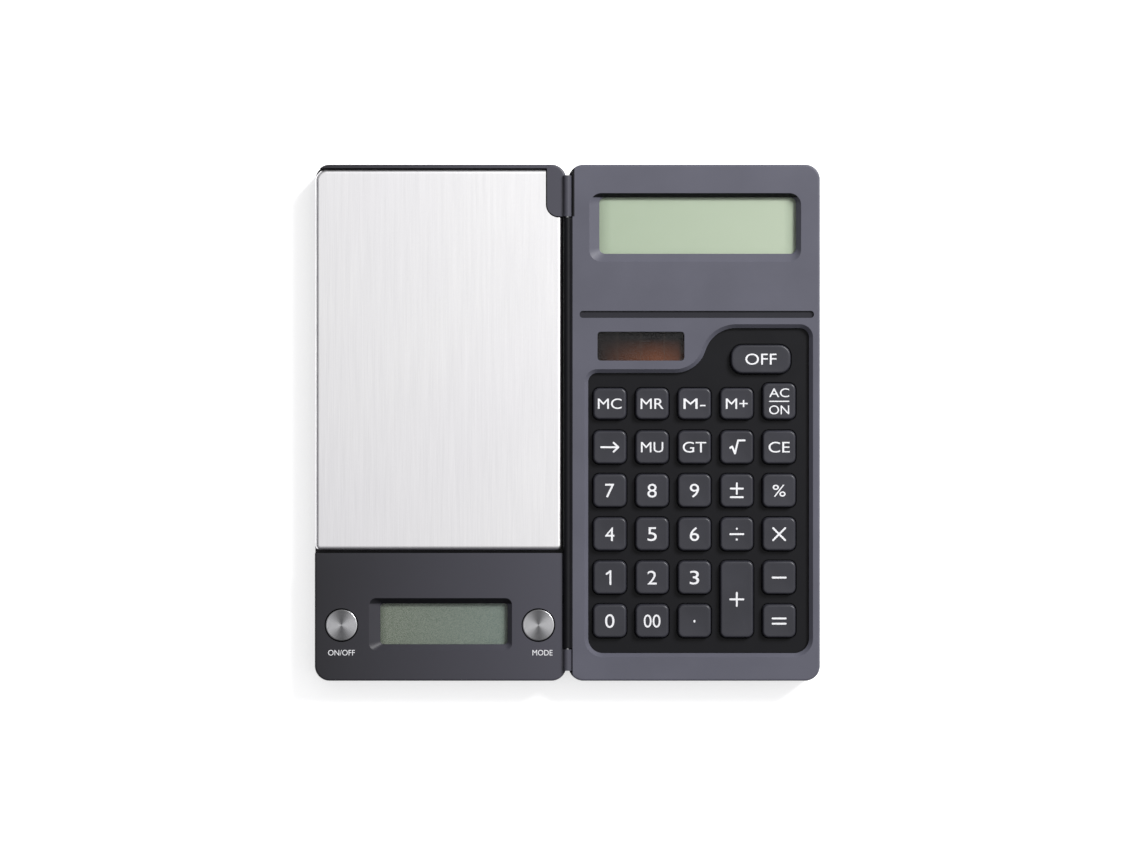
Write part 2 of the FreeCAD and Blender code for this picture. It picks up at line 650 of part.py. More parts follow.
def well_outline(sketch):
    """The key well: square on three sides, with a curved step up to the off key on the fourth."""
    x0, x1, y0 = number_of(WELL_LOW_X), number_of(WELL_HIGH_X), number_of(WELL_LOW_Y)
    y1, y2 = number_of(WELL_STEP_Y), number_of(WELL_TOP_Y)
    low, top = number_of("well_corner"), number_of("well_top_corner")
    curve_x, run = number_of("well_curve_x"), number_of("well_curve_run")
    rise = y2 - y1
    turn = 2 * math.atan2(rise, run)
    bend = run / (2 * math.sin(turn))

    def arc(x, y, radius, start, end):
        return Part.ArcOfCircle(Part.Circle(Vector(x, y, 0), Vector(0, 0, 1), radius), start, end)

    right, up, left, down = 0, math.pi / 2, math.pi, -math.pi / 2
    sketch.addGeometry([
        Part.LineSegment(Vector(x0 + low, y0, 0), Vector(x1 - low, y0, 0)),
        arc(x1 - low, y0 + low, low, down, right),
        Part.LineSegment(Vector(x1, y0 + low, 0), Vector(x1, y2 - top, 0)),
        arc(x1 - top, y2 - top, top, right, up),
        Part.LineSegment(Vector(x1 - top, y2, 0), Vector(curve_x + run, y2, 0)),
        arc(curve_x + run, y2 - bend, bend, up, up + turn),
        arc(curve_x, y1 + bend, bend, down, down + turn),
        Part.LineSegment(Vector(curve_x, y1, 0), Vector(x0 + top, y1, 0)),
        arc(x0 + top, y1 - top, top, up, left),
        Part.LineSegment(Vector(x0, y1 - top, 0), Vector(x0, y0 + low, 0)),
        arc(x0 + low, y0 + low, low, left, left + math.pi / 2),
    ])
    # Each stretch ends where the next one starts; the lower arc of the step runs the other way.
    ends = [(0, 2, 1, 1), (1, 2, 2, 1), (2, 2, 3, 1), (3, 2, 4, 1), (4, 2, 5, 1), (5, 2, 6, 2),
            (6, 1, 7, 1), (7, 2, 8, 1), (8, 2, 9, 1), (9, 2, 10, 1), (10, 2, 0, 1)]
    rules = [Sketcher.Constraint("Tangent", *pair) for pair in ends]
    rules += [Sketcher.Constraint("Horizontal", line) for line in (0, 4, 7)]
    rules += [Sketcher.Constraint("Vertical", line) for line in (2, 9)]
    rules += [Sketcher.Constraint("Equal", 5, 6), Sketcher.Constraint("Equal", 1, 10)]
    rules += [Sketcher.Constraint("Equal", 3, 8)]
    sketch.addConstraint(rules)
    dimension(sketch, "near_end", WELL_LOW_Y, "DistanceY", -1, 1, 0, 1)
    dimension(sketch, "outer_side", WELL_HIGH_X, "DistanceX", -1, 1, 2, 1)
    dimension(sketch, "hinge_side", WELL_LOW_X, "DistanceX", -1, 1, 9, 1)
    place_point(sketch, "step_start", 7, 1, "well_curve_x", WELL_STEP_Y)
    place_point(sketch, "step_end", 4, 2, "well_curve_x + well_curve_run", WELL_TOP_Y)
    dimension(sketch, "near_corner", "well_corner", "Radius", 1)
    dimension(sketch, "far_corner", "well_top_corner", "Radius", 3)


def make_front_cover():
    """Face with a display window, a groove, a solar window and a sunk well that the keys come through."""
    body = new_body("FrontCover")
    shell = pad(leaf_outline(body, "FrontOutline", 1, PARTING), "front_height")
    round_edges(shell, [level_face(shell, FACE)], "edge_round")
    inside = leaf_outline(body, "FrontInside", 1, PARTING, "wall")
    pocket(inside, "front_height - face_thickness", along_normal=True)

    thick = new_sketch(body, "WellBlock", WELL_UNDER)
    sharp_box(thick, f"{WELL_LOW_X} - wall", f"{WELL_HIGH_X} + wall", f"{WELL_LOW_Y} - wall",
              f"{WELL_TOP_Y} + wall")
    pad(thick, f"{CEILING} + slip - {WELL_UNDER}")
    frame = new_sketch(body, "DisplayFrame", FRAME_UNDER)
    laps = ("-", "+", "-", "+")
    sharp_box(frame, *[f"{edge} {sign} frame_lap" for edge, sign in zip(DISPLAY, laps)])
    pad(frame, "frame_drop + slip")
    screw_posts(body, "Front", CALC_SCREWS, CEILING)

    window(body, "Display", DISPLAY, DISPLAY_SLOPES, "display_corner", FRAME_UNDER)
    groove = new_sketch(body, "Groove", FACE)
    rounded_box(groove, "groove_side", "leaf_width - groove_side / 2", f"{TOP} - groove_inset",
                f"{TOP} - groove_inset + groove_width", "groove_width / 2 - slip")
    pocket(groove, "groove_drop")
    well = new_sketch(body, "Well", FACE)
    well_outline(well)
    sunk = pocket(well, "well_drop")
    bevel_rim(sunk, FACE, WELL_LOW_X, WELL_HIGH_X, WELL_LOW_Y, WELL_TOP_Y, "well_bevel")
    for row in range(7):
        holes = new_sketch(body, f"KeyHoles{row}", WELL_FLOOR)
        for key in KEYS:
            if key[-1] == row:
                key_outline(holes, key, "key_slip")
        pocket(holes, "well_floor + slip")
    opening = new_sketch(body, "SolarOpening", FACE)
    rounded_box(opening, *SOLAR, "solar_corner")
    pocket(opening, "solar_sink + slip")
    seat = new_sketch(body, "SolarSeat", WELL_UNDER)
    sharp_box(seat, *[f"{edge} {sign} (solar_lap + slip)" for edge, sign in zip(SOLAR, laps)])
    pocket(seat, f"{SOLAR_LENS_TOP} - {WELL_UNDER}", along_normal=True)

    barrel(body, "LongBarrel", BARREL_HIGH, BARREL_LOW, "barrel_radius")
    cove = "barrel_radius + knuckle_gap"
    barrel(body, "TopCove", f"{TOP_KNUCKLE_HIGH} + knuckle_gap", BARREL_HIGH, cove, cut=True)
    barrel(body, "LowCove", BARREL_LOW, f"{LOW_KNUCKLE_LOW} - knuckle_gap", cove, cut=True)
    barrel(body, "LongBore", BARREL_HIGH, BARREL_LOW, "pin_radius + pin_slip", cut=True)
    finish_part(body, "front_cover")


make_front_cover()
finish_part(rear_shell("RearCover", 1, CALC_SCREWS), "rear_cover")
screws_of("case_screws", CALC_SCREWS)
feet_of("rubber_feet", 1)

display_edges = inner_edges(DISPLAY, DISPLAY_SLOPES)
display_lens = pane("DisplayLens", display_edges, "lens_lap", "display_corner", LENS_TOP, "lens_thickness")
solar_lens = pane("SolarLens", SOLAR, "solar_lap", "solar_corner", SOLAR_LENS_TOP, "lens_thickness")
group("window_lenses", [display_lens, solar_lens])

GLASS_TOP = f"({LENS_TOP} - lens_thickness)"
GLASS_LOW = f"({GLASS_TOP} - glass_thickness)"
glass = pane("LcdGlass", display_edges, "lens_lap", "display_corner", GLASS_TOP, "glass_thickness")
finish_part(glass, "lcd_glass")
ZEBRA_LOW_Y = f"({display_edges[2]} - lens_lap)"
ZEBRA_HIGH_Y = f"({display_edges[2]} - lens_lap + strip_depth)"
zebra = block("ZebraStrip", f"{display_edges[0]} + lens_lap", f"{display_edges[1]} - lens_lap",
              ZEBRA_LOW_Y, ZEBRA_HIGH_Y, BOARD_TOP, GLASS_LOW)
finish_part(zebra, "zebra_strip")
solar = block("SolarCell", f"{SOLAR[0]} - solar_lap", f"{SOLAR[1]} + solar_lap", f"{SOLAR[2]} - solar_lap",
              f"{SOLAR[3]} + solar_lap", f"{SOLAR_LENS_TOP} - lens_thickness - solar_thickness",
              f"{SOLAR_LENS_TOP} - lens_thickness")
finish_part(solar, "solar_cell")

CELL_Y = f"({TOP} - button_cell_inset)"
CELL_TOP = f"({FLOOR} + contact_thickness + button_cell_height)"


def make_main_board():
    """The board lies on the rear bosses' level and is cut out for the posts and the button cell."""
    body = new_body("MainBoard")
    outline = new_sketch(body, "BoardOutline", BOSS_TOP)
    rounded_box(outline, "leaf_gap + wall + board_slip", "leaf_width - wall - board_slip",
                f"{LOW} + screw_end_inset + boss_radius + board_slip",
                f"{ZEBRA_HIGH_Y} + board_slip", "corner_radius - wall")
    pad(outline, "board_thickness")
    pocket(circles(body, "BoardPosts", BOARD_TOP, CALC_SCREWS[2:4], "boss_radius + board_slip"),
           "board_thickness + slip")
    cell_hole = circles(body, "BoardCell", BOARD_TOP, [("button_cell_x", CELL_Y)],
                        "button_cell_radius + board_slip")
    pocket(cell_hole, "board_thickness + slip")
    finish_part(body, "main_board")


def dome_mat(label, low_x, high_x, low_y, high_y, low_z, places):
    """A silicone sheet with one collapsing dome for each key."""
    name = label.title().replace("_", "")
    body = new_body(name)
    web = new_sketch(body, name + "Web", low_z)
    rounded_box(web, low_x, high_x, low_y, high_y, "key_corner")
    pad(web, "mat_thickness")
    pad(circles(body, name + "Domes", f"{low_z} + mat_thickness", places, "dome_radius"), "dome_height",
        draft="dome_draft")
    finish_part(body, label)


make_main_board()
dome_mat("key_mat", f"{WELL_LOW_X} - slip", WELL_HIGH_X, WELL_LOW_Y, WELL_TOP_Y, BOARD_TOP,
         [(key[1], key[2]) for key in KEYS])

finish_part(disc("ButtonCell", "button_cell_x", CELL_Y, f"{FLOOR} + contact_thickness", "button_cell_radius",
                 "button_cell_height"), "button_cell")


def strip(name, x, low_y, high_y, low_z, high_z):
    return block(name, f"{x} - contact_width / 2", f"{x} + contact_width / 2", low_y, high_y, low_z, high_z)


under_cell = strip("CellUnder", "button_cell_x", f"{CELL_Y} - button_cell_radius",
                   f"{CELL_Y} + button_cell_radius", FLOOR, f"{FLOOR} + contact_thickness")
CLIP_END = f"({CELL_Y} + button_cell_radius + board_slip + contact_width / 2)"
over_cell = strip("CellOver", "button_cell_x", CELL_Y, CLIP_END, CELL_TOP, f"{CELL_TOP} + contact_thickness")
clip_leg = strip("ClipLeg", "button_cell_x", f"{CLIP_END} - contact_thickness", CLIP_END, BOARD_TOP,
                 f"{CELL_TOP} + contact_thickness")
clip = doc.addObject("Part::MultiFuse", "UpperClip")
clip.Shapes = [over_cell, clip_leg]
group("cell_clip", [under_cell, clip])

pin = disc("HingePin", "0", LOW_KNUCKLE_LOW, AXIS, "pin_radius", f"{TOP_KNUCKLE_HIGH} - {LOW_KNUCKLE_LOW}")
pin.Placement.Rotation = Rotation(Vector(1, 0, 0), -90)
finish_part(pin, "hinge_pin")


# ---------------------------------------------------------------- scale leaf

PLATE_HIGH = f"({TOP} - plate_inset)"
PLATE_LOW = f"({TOP} - plate_inset - plate_length)"
PLATE_NEAR = "-(barrel_radius + plate_hinge_gap)"
PLATE_FAR = "-(leaf_width - plate_edge)"
PLATE_TOP = f"({FACE} - plate_sink)"
PANEL_HIGH = f"({PLATE_LOW} - plate_low_gap)"
DECK = f"({FACE} - deck_drop)"
DECK_UNDER = f"({DECK} - deck_thickness)"
PLATE_X = f"(({PLATE_NEAR} + {PLATE_FAR}) / 2)"
PLATE_Y = f"(({PLATE_HIGH} + {PLATE_LOW}) / 2)"
BEAM_LOW = f"({FLOOR} + beam_lift)"
BEAM_TOP = f"({BEAM_LOW} + beam_height)"
NECK_Y = f"({PLATE_Y} + beam_length / 2 - neck_length / 2)"
SPIDER_TOP = f"({PLATE_TOP} - plate_thickness)"
SCALE_SCREWS = screw_places(-1, f"{PANEL_HIGH} - post_radius")
SCALE_DISPLAY = ("-(scale_display_near + scale_display_width)", "-scale_display_near",
                 f"{LOW} + scale_display_inset", f"{LOW} + scale_display_inset + scale_display_depth")
SCALE_SLOPES = ("scale_slope_outer", "scale_slope_side", "scale_slope_end", "scale_slope_end")
SCALE_BUTTONS = [("power_button", "-scale_button_far"), ("mode_button", "-scale_button_near")]
BUTTON_Y = f"({LOW} + scale_button_inset)"
COIN_Y = f"({LOW} + coin_inset)"
COIN_TOP = f"({FLOOR} + coin_height)"
BAY = ("-coin_center_x - coin_gap / 2 - 2 * coin_radius - coin_slip",
       "-coin_center_x + coin_gap / 2 + 2 * coin_radius + coin_slip",
       f"{COIN_Y} - coin_radius - coin_slip", f"{COIN_Y} + coin_radius + coin_slip")
SCALE_BOARD_LOW = f"({COIN_TOP} + scale_board_lift)"
SCALE_BOARD_TOP = f"({SCALE_BOARD_LOW} + board_thickness)"
DOOR_TOP = "(foot_height + door_thickness)"


def plate_space(body):
    """Outline of the sunk field for the plate; one corner stays up to carry the top knuckle."""
    sketch = new_sketch(body, "PlateSpace", FACE)
    outer, block_side, hinge_side = "-leaf_width - wall", "-(notch_width - notch_gap)", "leaf_gap"
    high = f"{PLATE_HIGH} + plate_gap"
    x0, x1, x2 = number_of(outer), number_of(block_side), number_of(hinge_side)
    y0, y1, y2 = number_of(PANEL_HIGH), number_of(TOP_KNUCKLE_LOW), number_of(high)
    r = number_of("notch_corner")
    bend = Part.Circle(Vector(x1 + r, y1 + r, 0), Vector(0, 0, 1), r)
    sketch.addGeometry([
        Part.LineSegment(Vector(x0, y0, 0), Vector(x2, y0, 0)),
        Part.LineSegment(Vector(x2, y0, 0), Vector(x2, y1, 0)),
        Part.LineSegment(Vector(x2, y1, 0), Vector(x1 + r, y1, 0)),
        Part.LineSegment(Vector(x1, y1 + r, 0), Vector(x1, y2, 0)),
        Part.LineSegment(Vector(x1, y2, 0), Vector(x0, y2, 0)),
        Part.LineSegment(Vector(x0, y2, 0), Vector(x0, y0, 0)),
        Part.ArcOfCircle(bend, math.pi, 1.5 * math.pi),
    ])
    joined = ((0, 1), (1, 2), (3, 4), (4, 5), (5, 0))
    rules = [Sketcher.Constraint("Coincident", first, 2, second, 1) for first, second in joined]
    rules += [Sketcher.Constraint("Tangent", 2, 2, 6, 2), Sketcher.Constraint("Tangent", 6, 1, 3, 1)]
    rules += [Sketcher.Constraint("Horizontal", side) for side in (0, 2, 4)]
    rules += [Sketcher.Constraint("Vertical", side) for side in (1, 3, 5)]
    sketch.addConstraint(rules)
    place_point(sketch, "low", 0, 1, outer, PANEL_HIGH)
    place_point(sketch, "step", 1, 2, hinge_side, TOP_KNUCKLE_LOW)
    place_point(sketch, "high", 3, 2, block_side, high)
    dimension(sketch, "corner", "notch_corner", "Radius", 6)
    return sketch


def make_scale_panel():
    """Deck under the plate, with the control panel beside it and the rim and knuckle corner above it."""
    body = new_body("ScalePanel")
    shell = pad(leaf_outline(body, "PanelOutline", -1, PARTING), "front_height")
    round_edges(shell, [level_face(shell, FACE)], "edge_round")
    pocket(plate_space(body), "deck_drop")
    inside = leaf_outline(body, "PanelInside", -1, PARTING, "wall")
    pocket(inside, f"{DECK_UNDER} - {PARTING}", along_normal=True)
    chamber = new_sketch(body, "ControlSpace", DECK_UNDER)
    rounded_box(chamber, "-leaf_width + wall", "-leaf_gap - wall", f"{LOW} + wall", f"{PANEL_HIGH} - wall",
                "corner_radius - wall")
    pocket(chamber, f"{CEILING} - {DECK_UNDER}", along_normal=True)
    low_posts = circles(body, "PanelLowPosts", DECK_UNDER, SCALE_SCREWS[2:], "post_radius")
    pad(low_posts, f"{CEILING} - {DECK_UNDER} + slip")
    screw_posts(body, "Panel", SCALE_SCREWS, DECK_UNDER)
    frame = new_sketch(body, "PanelFrame", FRAME_UNDER)
    laps = ("-", "+", "-", "+")
    sharp_box(frame, *[f"{edge} {sign} frame_lap" for edge, sign in zip(SCALE_DISPLAY, laps)])
    pad(frame, "frame_drop + slip")
    window(body, "ScaleDisplay", SCALE_DISPLAY, SCALE_SLOPES, "scale_display_corner", FRAME_UNDER)
    holes = circles(body, "ButtonHoles", FACE, [(x, BUTTON_Y) for _, x in SCALE_BUTTONS],
                    "scale_button_radius + key_slip")
    pocket(holes, "face_thickness + slip")
    reach = ("neck_gap + beam_width / 2", "neck_gap + neck_length / 2")
    neck = new_sketch(body, "NeckOpening", DECK)
    rounded_box(neck, f"{PLATE_X} - ({reach[0]})", f"{PLATE_X} + ({reach[0]})", f"{NECK_Y} - ({reach[1]})",
                f"{NECK_Y} + ({reach[1]})", "neck_gap")
    pocket(neck, "deck_thickness + slip")
    barrel(body, "LongCove", f"{BARREL_HIGH} + knuckle_gap", f"{BARREL_LOW} - knuckle_gap",
           "barrel_radius + knuckle_gap", cut=True)
    barrel(body, "TopKnuckle", TOP_KNUCKLE_HIGH, TOP_KNUCKLE_LOW, "barrel_radius")
    barrel(body, "LowKnuckle", LOW_KNUCKLE_HIGH, LOW_KNUCKLE_LOW, "barrel_radius")
    bore = "pin_radius + pin_slip"
    barrel(body, "TopBore", TOP_KNUCKLE_HIGH, TOP_KNUCKLE_LOW, bore, cut=True)
    barrel(body, "LowBore", LOW_KNUCKLE_HIGH, LOW_KNUCKLE_LOW, bore, cut=True)
    finish_part(body, "scale_panel")


def make_scale_base():
    """Rear tray with the coin cell bay, its door opening, and a boss for the load cell."""
    body = rear_shell("ScaleBase", -1, SCALE_SCREWS)
    walls = new_sketch(body, "BayWalls", FLOOR)
    sharp_box(walls, f"{BAY[0]} - bay_wall", f"{BAY[1]} + bay_wall", f"{LOW} + wall", f"{BAY[3]} + bay_wall")
    pad(walls, f"{SCALE_BOARD_LOW} - {FLOOR}")
    boss = new_sketch(body, "BeamBoss", FLOOR)
    beam_low = f"{PLATE_Y} - beam_length / 2"
    sharp_box(boss, f"{PLATE_X} - beam_width / 2", f"{PLATE_X} + beam_width / 2", beam_low,
              f"{beam_low} + beam_foot")
    pad(boss, "beam_lift")
    bay = new_sketch(body, "Bay", SCALE_BOARD_LOW)
    sharp_box(bay, *BAY)
    pocket(bay, f"{SCALE_BOARD_LOW} - foot_height + slip")
    door_space = new_sketch(body, "DoorSpace", "foot_height")
    sharp_box(door_space, f"{BAY[0]} - door_lap - slip", f"{BAY[1]} + door_lap + slip", f"{LOW} - slip",
              f"{BAY[3]} + door_lap + slip")
    pocket(door_space, "door_thickness + slip", along_normal=True)
    slots = new_sketch(body, "TongueSlots", f"{DOOR_TOP} - door_tongue_height - slip")
    sharp_box(slots, f"{BAY[0]} - door_lap - door_tongue - slip", f"{BAY[1]} + door_lap + door_tongue + slip",
              f"{LOW} - slip", f"{BAY[3]} + door_lap + slip")
    pocket(slots, "door_tongue_height + 2 * slip", along_normal=True)
    finish_part(body, "scale_base")


def make_platform():
    """Steel sheet with a lip bent down along each side and a notch that clears the top knuckle."""
    body = new_body("WeighingPlatform")
    outline = new_sketch(body, "PlateOutline", f"{PLATE_TOP} - lip_drop")
    sharp_box(outline, PLATE_FAR, PLATE_NEAR, PLATE_LOW, PLATE_HIGH)
    square = pad(outline, "lip_drop")
    eased = round_edges(square, [upright_edge(square, PLATE_FAR, PLATE_HIGH)], "plate_outer_corner")
    corners = ((PLATE_NEAR, PLATE_HIGH), (PLATE_NEAR, PLATE_LOW), (PLATE_FAR, PLATE_LOW))
    solid = round_edges(eased, [upright_edge(eased, x, y) for x, y in corners], "plate_corner")
    round_edges(solid, [level_face(solid, PLATE_TOP)], "plate_round")
    notch = new_sketch(body, "PlateNotch", PLATE_TOP)
    rounded_box(notch, "-notch_width", "notch_width", f"{TOP_KNUCKLE_LOW} - notch_gap",
                f"{PLATE_HIGH} + notch_width", "notch_corner + notch_gap")
    pocket(notch, "lip_drop + slip")
    hollow = new_sketch(body, "PlateUnderside", f"{PLATE_TOP} - lip_drop")
    sharp_box(hollow, f"{PLATE_FAR} + plate_thickness", f"{PLATE_NEAR} - plate_thickness",
              f"{PLATE_LOW} + plate_thickness", f"{PLATE_HIGH} - plate_thickness")
    pocket(hollow, "lip_drop - plate_thickness", along_normal=True)
    finish_part(body, "weighing_platform")


def make_bracket():
    """A plate glued under the platform, on a neck that bears on the free end of the load cell."""
    body = new_body("PlatformBracket")
    neck = new_sketch(body, "BracketNeck", BEAM_TOP)
    sharp_box(neck, f"{PLATE_X} - beam_width / 2", f"{PLATE_X} + beam_width / 2",
              f"{NECK_Y} - neck_length / 2", f"{NECK_Y} + neck_length / 2")
    pad(neck, f"{SPIDER_TOP} - {BEAM_TOP}")
    spider = new_sketch(body, "BracketPlate", f"{SPIDER_TOP} - spider_thickness")
    rounded_box(spider, f"{PLATE_X} - spider_width / 2", f"{PLATE_X} + spider_width / 2",
                f"{PLATE_Y} - spider_length / 2", f"{PLATE_Y} + spider_length / 2", "corner_radius")
    pad(spider, "spider_thickness")
    finish_part(body, "platform_bracket")


def make_load_cell():
    """An aluminium beam thinned by two joined holes, so that its free end sinks without tilting."""
    bar = block("Beam", f"{PLATE_X} - beam_width / 2", f"{PLATE_X} + beam_width / 2",
                f"{PLATE_Y} - beam_length / 2", f"{PLATE_Y} + beam_length / 2", BEAM_LOW, BEAM_TOP)
    cuts = []
    middle = f"({BEAM_LOW} + {BEAM_TOP}) / 2"
    for name, sign in (("BeamHoleLow", "-"), ("BeamHoleHigh", "+")):
        hole = disc(name, f"{PLATE_X} - beam_width", f"{PLATE_Y} {sign} beam_hole_span / 2", middle,
                    "beam_hole", "2 * beam_width")
        hole.Placement.Rotation = Rotation(Vector(0, 1, 0), 90)
        cuts.append(hole)
    cuts.append(block("BeamSlot", f"{PLATE_X} - beam_width", f"{PLATE_X} + beam_width",
                      f"{PLATE_Y} - beam_hole_span / 2", f"{PLATE_Y} + beam_hole_span / 2",
                      f"{middle} - beam_hole / 2", f"{middle} + beam_hole / 2"))
    tools = doc.addObject("Part::MultiFuse", "BeamCuts")
    tools.Shapes = cuts
    beam = doc.addObject("Part::Cut", "LoadCell")
    beam.Base = bar
    beam.Tool = tools
    finish_part(beam, "load_cell")


make_scale_panel()
make_scale_base()
screws_of("scale_screws", SCALE_SCREWS)
feet_of("scale_feet", -1)
make_platform()
make_bracket()
make_load_cell()

scale_edges = inner_edges(SCALE_DISPLAY, SCALE_SLOPES)
SCALE_GLASS_LOW = f"({GLASS_TOP} - scale_glass_thickness)"
for label, top, thickness in (("scale_lens", LENS_TOP, "lens_thickness"),
                              ("scale_lcd", GLASS_TOP, "scale_glass_thickness")):
    name = label.title().replace("_", "")
    finish_part(pane(name, scale_edges, "lens_lap", "scale_display_corner", top, thickness), label)
scale_zebra = block("ScaleZebra", f"{scale_edges[0]} + lens_lap", f"{scale_edges[1]} - lens_lap",
                    f"{scale_edges[2]} - lens_lap", f"{scale_edges[2]} - lens_lap + strip_depth",
                    SCALE_BOARD_TOP, SCALE_GLASS_LOW)
finish_part(scale_zebra, "scale_zebra")


def make_scale_board():
    """The board rests on the bay walls and is cut out for the posts."""
    body = new_body("ScaleBoard")
    outline = new_sketch(body, "ScaleBoardOutline", SCALE_BOARD_LOW)
    rounded_box(outline, "-leaf_width + wall + board_slip", "-leaf_gap - wall - board_slip",
                f"{LOW} + screw_end_inset + post_radius + board_slip", f"{PANEL_HIGH} - wall - board_slip",
                "corner_radius - wall")
    pad(outline, "board_thickness")
    pocket(circles(body, "ScaleBoardPosts", SCALE_BOARD_TOP, SCALE_SCREWS[2:4], "post_radius + board_slip"),
           "board_thickness + slip")
    finish_part(body, "scale_board")


def make_scale_button(label, x):
    """A round metal-finished button on a flange, with a plunger that rests on its dome."""
    name = label.title().replace("_", "")
    body = new_body(name)
    top = f"({FACE} - scale_button_sink)"
    flange_top = f"({CEILING} - flange_gap)"
    flange = circles(body, name + "Flange", f"{flange_top} - flange_thickness", [(x, BUTTON_Y)],
                     "scale_button_radius + flange_lap")
    pad(flange, "flange_thickness")
    cap_outline = circles(body, name + "Cap", flange_top, [(x, BUTTON_Y)], "scale_button_radius")
    cap = pad(cap_outline, f"{top} - {flange_top}")
    round_edges(cap, [level_face(cap, top)], "scale_button_round")
    dome_top = f"({SCALE_BOARD_TOP} + mat_thickness + dome_height)"
    plunger = circles(body, name + "Plunger", dome_top, [(x, BUTTON_Y)], "stem_radius")
    pad(plunger, f"{flange_top} - flange_thickness - {dome_top}")
    finish_part(body, label)


def make_button_mat():
    """Two silicone pads, one under each button."""
    pads = []
    for label, x in SCALE_BUTTONS:
        name = "Mat" + label.title().replace("_", "")
        body = new_body(name)
        reach = "dome_radius + slip"
        web = new_sketch(body, name + "Web", SCALE_BOARD_TOP)
        rounded_box(web, f"{x} - ({reach})", f"{x} + ({reach})",
                    f"{BUTTON_Y} - ({reach})", f"{BUTTON_Y} + ({reach})", "key_corner")
        pad(web, "mat_thickness")
        dome = circles(body, name + "Dome", f"{SCALE_BOARD_TOP} + mat_thickness", [(x, BUTTON_Y)], "dome_radius")
        pad(dome, "dome_height", draft="dome_draft")
        pads.append(body)
    group("scale_button_mat", pads)


make_scale_board()
for button_label, button_x in SCALE_BUTTONS:
    make_scale_button(button_label, button_x)
make_button_mat()

COIN_REACH = "(coin_gap / 2 + coin_radius)"
COIN_PLACES = [f"-coin_center_x - {COIN_REACH}", f"-coin_center_x + {COIN_REACH}"]
coins, contacts = [], []
for count, x in enumerate(COIN_PLACES):
    coins.append(disc(f"CoinCell{count}", x, COIN_Y, FLOOR, "coin_radius", "coin_height"))
    contacts.append(strip(f"CoinContact{count}", x, f"{COIN_Y} - coin_radius / 2",
                          f"{COIN_Y} + coin_radius", COIN_TOP, f"{COIN_TOP} + contact_thickness"))
group("coin_cells", coins)
group("coin_cell_contacts", contacts)


def make_door():
    """A flat door with a tongue along each side and finger ridges, which slides off past the near end."""
    body = new_body("CoinCellDoor")
    plate = new_sketch(body, "DoorPlate", "foot_height")
    sharp_box(plate, f"{BAY[0]} - door_lap", f"{BAY[1]} + door_lap", LOW, f"{BAY[3]} + door_lap")
    panel = pad(plate, "door_thickness")
    doc.recompute()
    end, under = number_of(LOW) + 1e-6, number_of("foot_height") + 1e-6
    outer = [f"Edge{index}" for index, edge in enumerate(panel.Shape.Edges, start=1)
             if edge.BoundBox.YMax < end and edge.BoundBox.ZMax < under]
    round_edges(panel, outer, "base_round")
    tongues = new_sketch(body, "DoorTongues", f"{DOOR_TOP} - door_tongue_height")
    sharp_box(tongues, f"{BAY[0]} - door_lap - door_tongue", f"{BAY[1]} + door_lap + door_tongue",
              f"{LOW} + wall", f"{BAY[3]} + door_lap")
    pad(tongues, "door_tongue_height")
    ridges = new_sketch(body, "DoorRidges", "foot_height")
    for count in range(4):
        y = f"{LOW} + wall + {2 * count + 1} * door_ridge"
        sharp_box(ridges, "-coin_center_x - coin_radius", "-coin_center_x + coin_radius",
                  y, f"{y} + door_ridge")
    pocket(ridges, "door_thickness / 3", along_normal=True)
    finish_part(body, "coin_cell_door")


make_door()


# ---------------------------------------------------------------- checks and files

doc.recompute()
for item in doc.Objects:
    if {"Invalid", "Error"} & set(item.State):
        raise RuntimeError(f"{item.Name} did not build: {item.State}")
for piece in finished:
    if piece.Shape.isNull() or not piece.Shape.isValid() or not piece.Shape.Solids:
        raise RuntimeError(f"{piece.Label} has no valid solid")

os.makedirs("parts", exist_ok=True)
for piece in finished:
    piece.Shape.exportStep(f"parts/{piece.Label}.step")
    print(f"{piece.Label}: {len(piece.Shape.Solids)} solid(s), {piece.Shape.Volume:.1f} mm3")
print(f"{len(finished)} sub-parts")
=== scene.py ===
import math

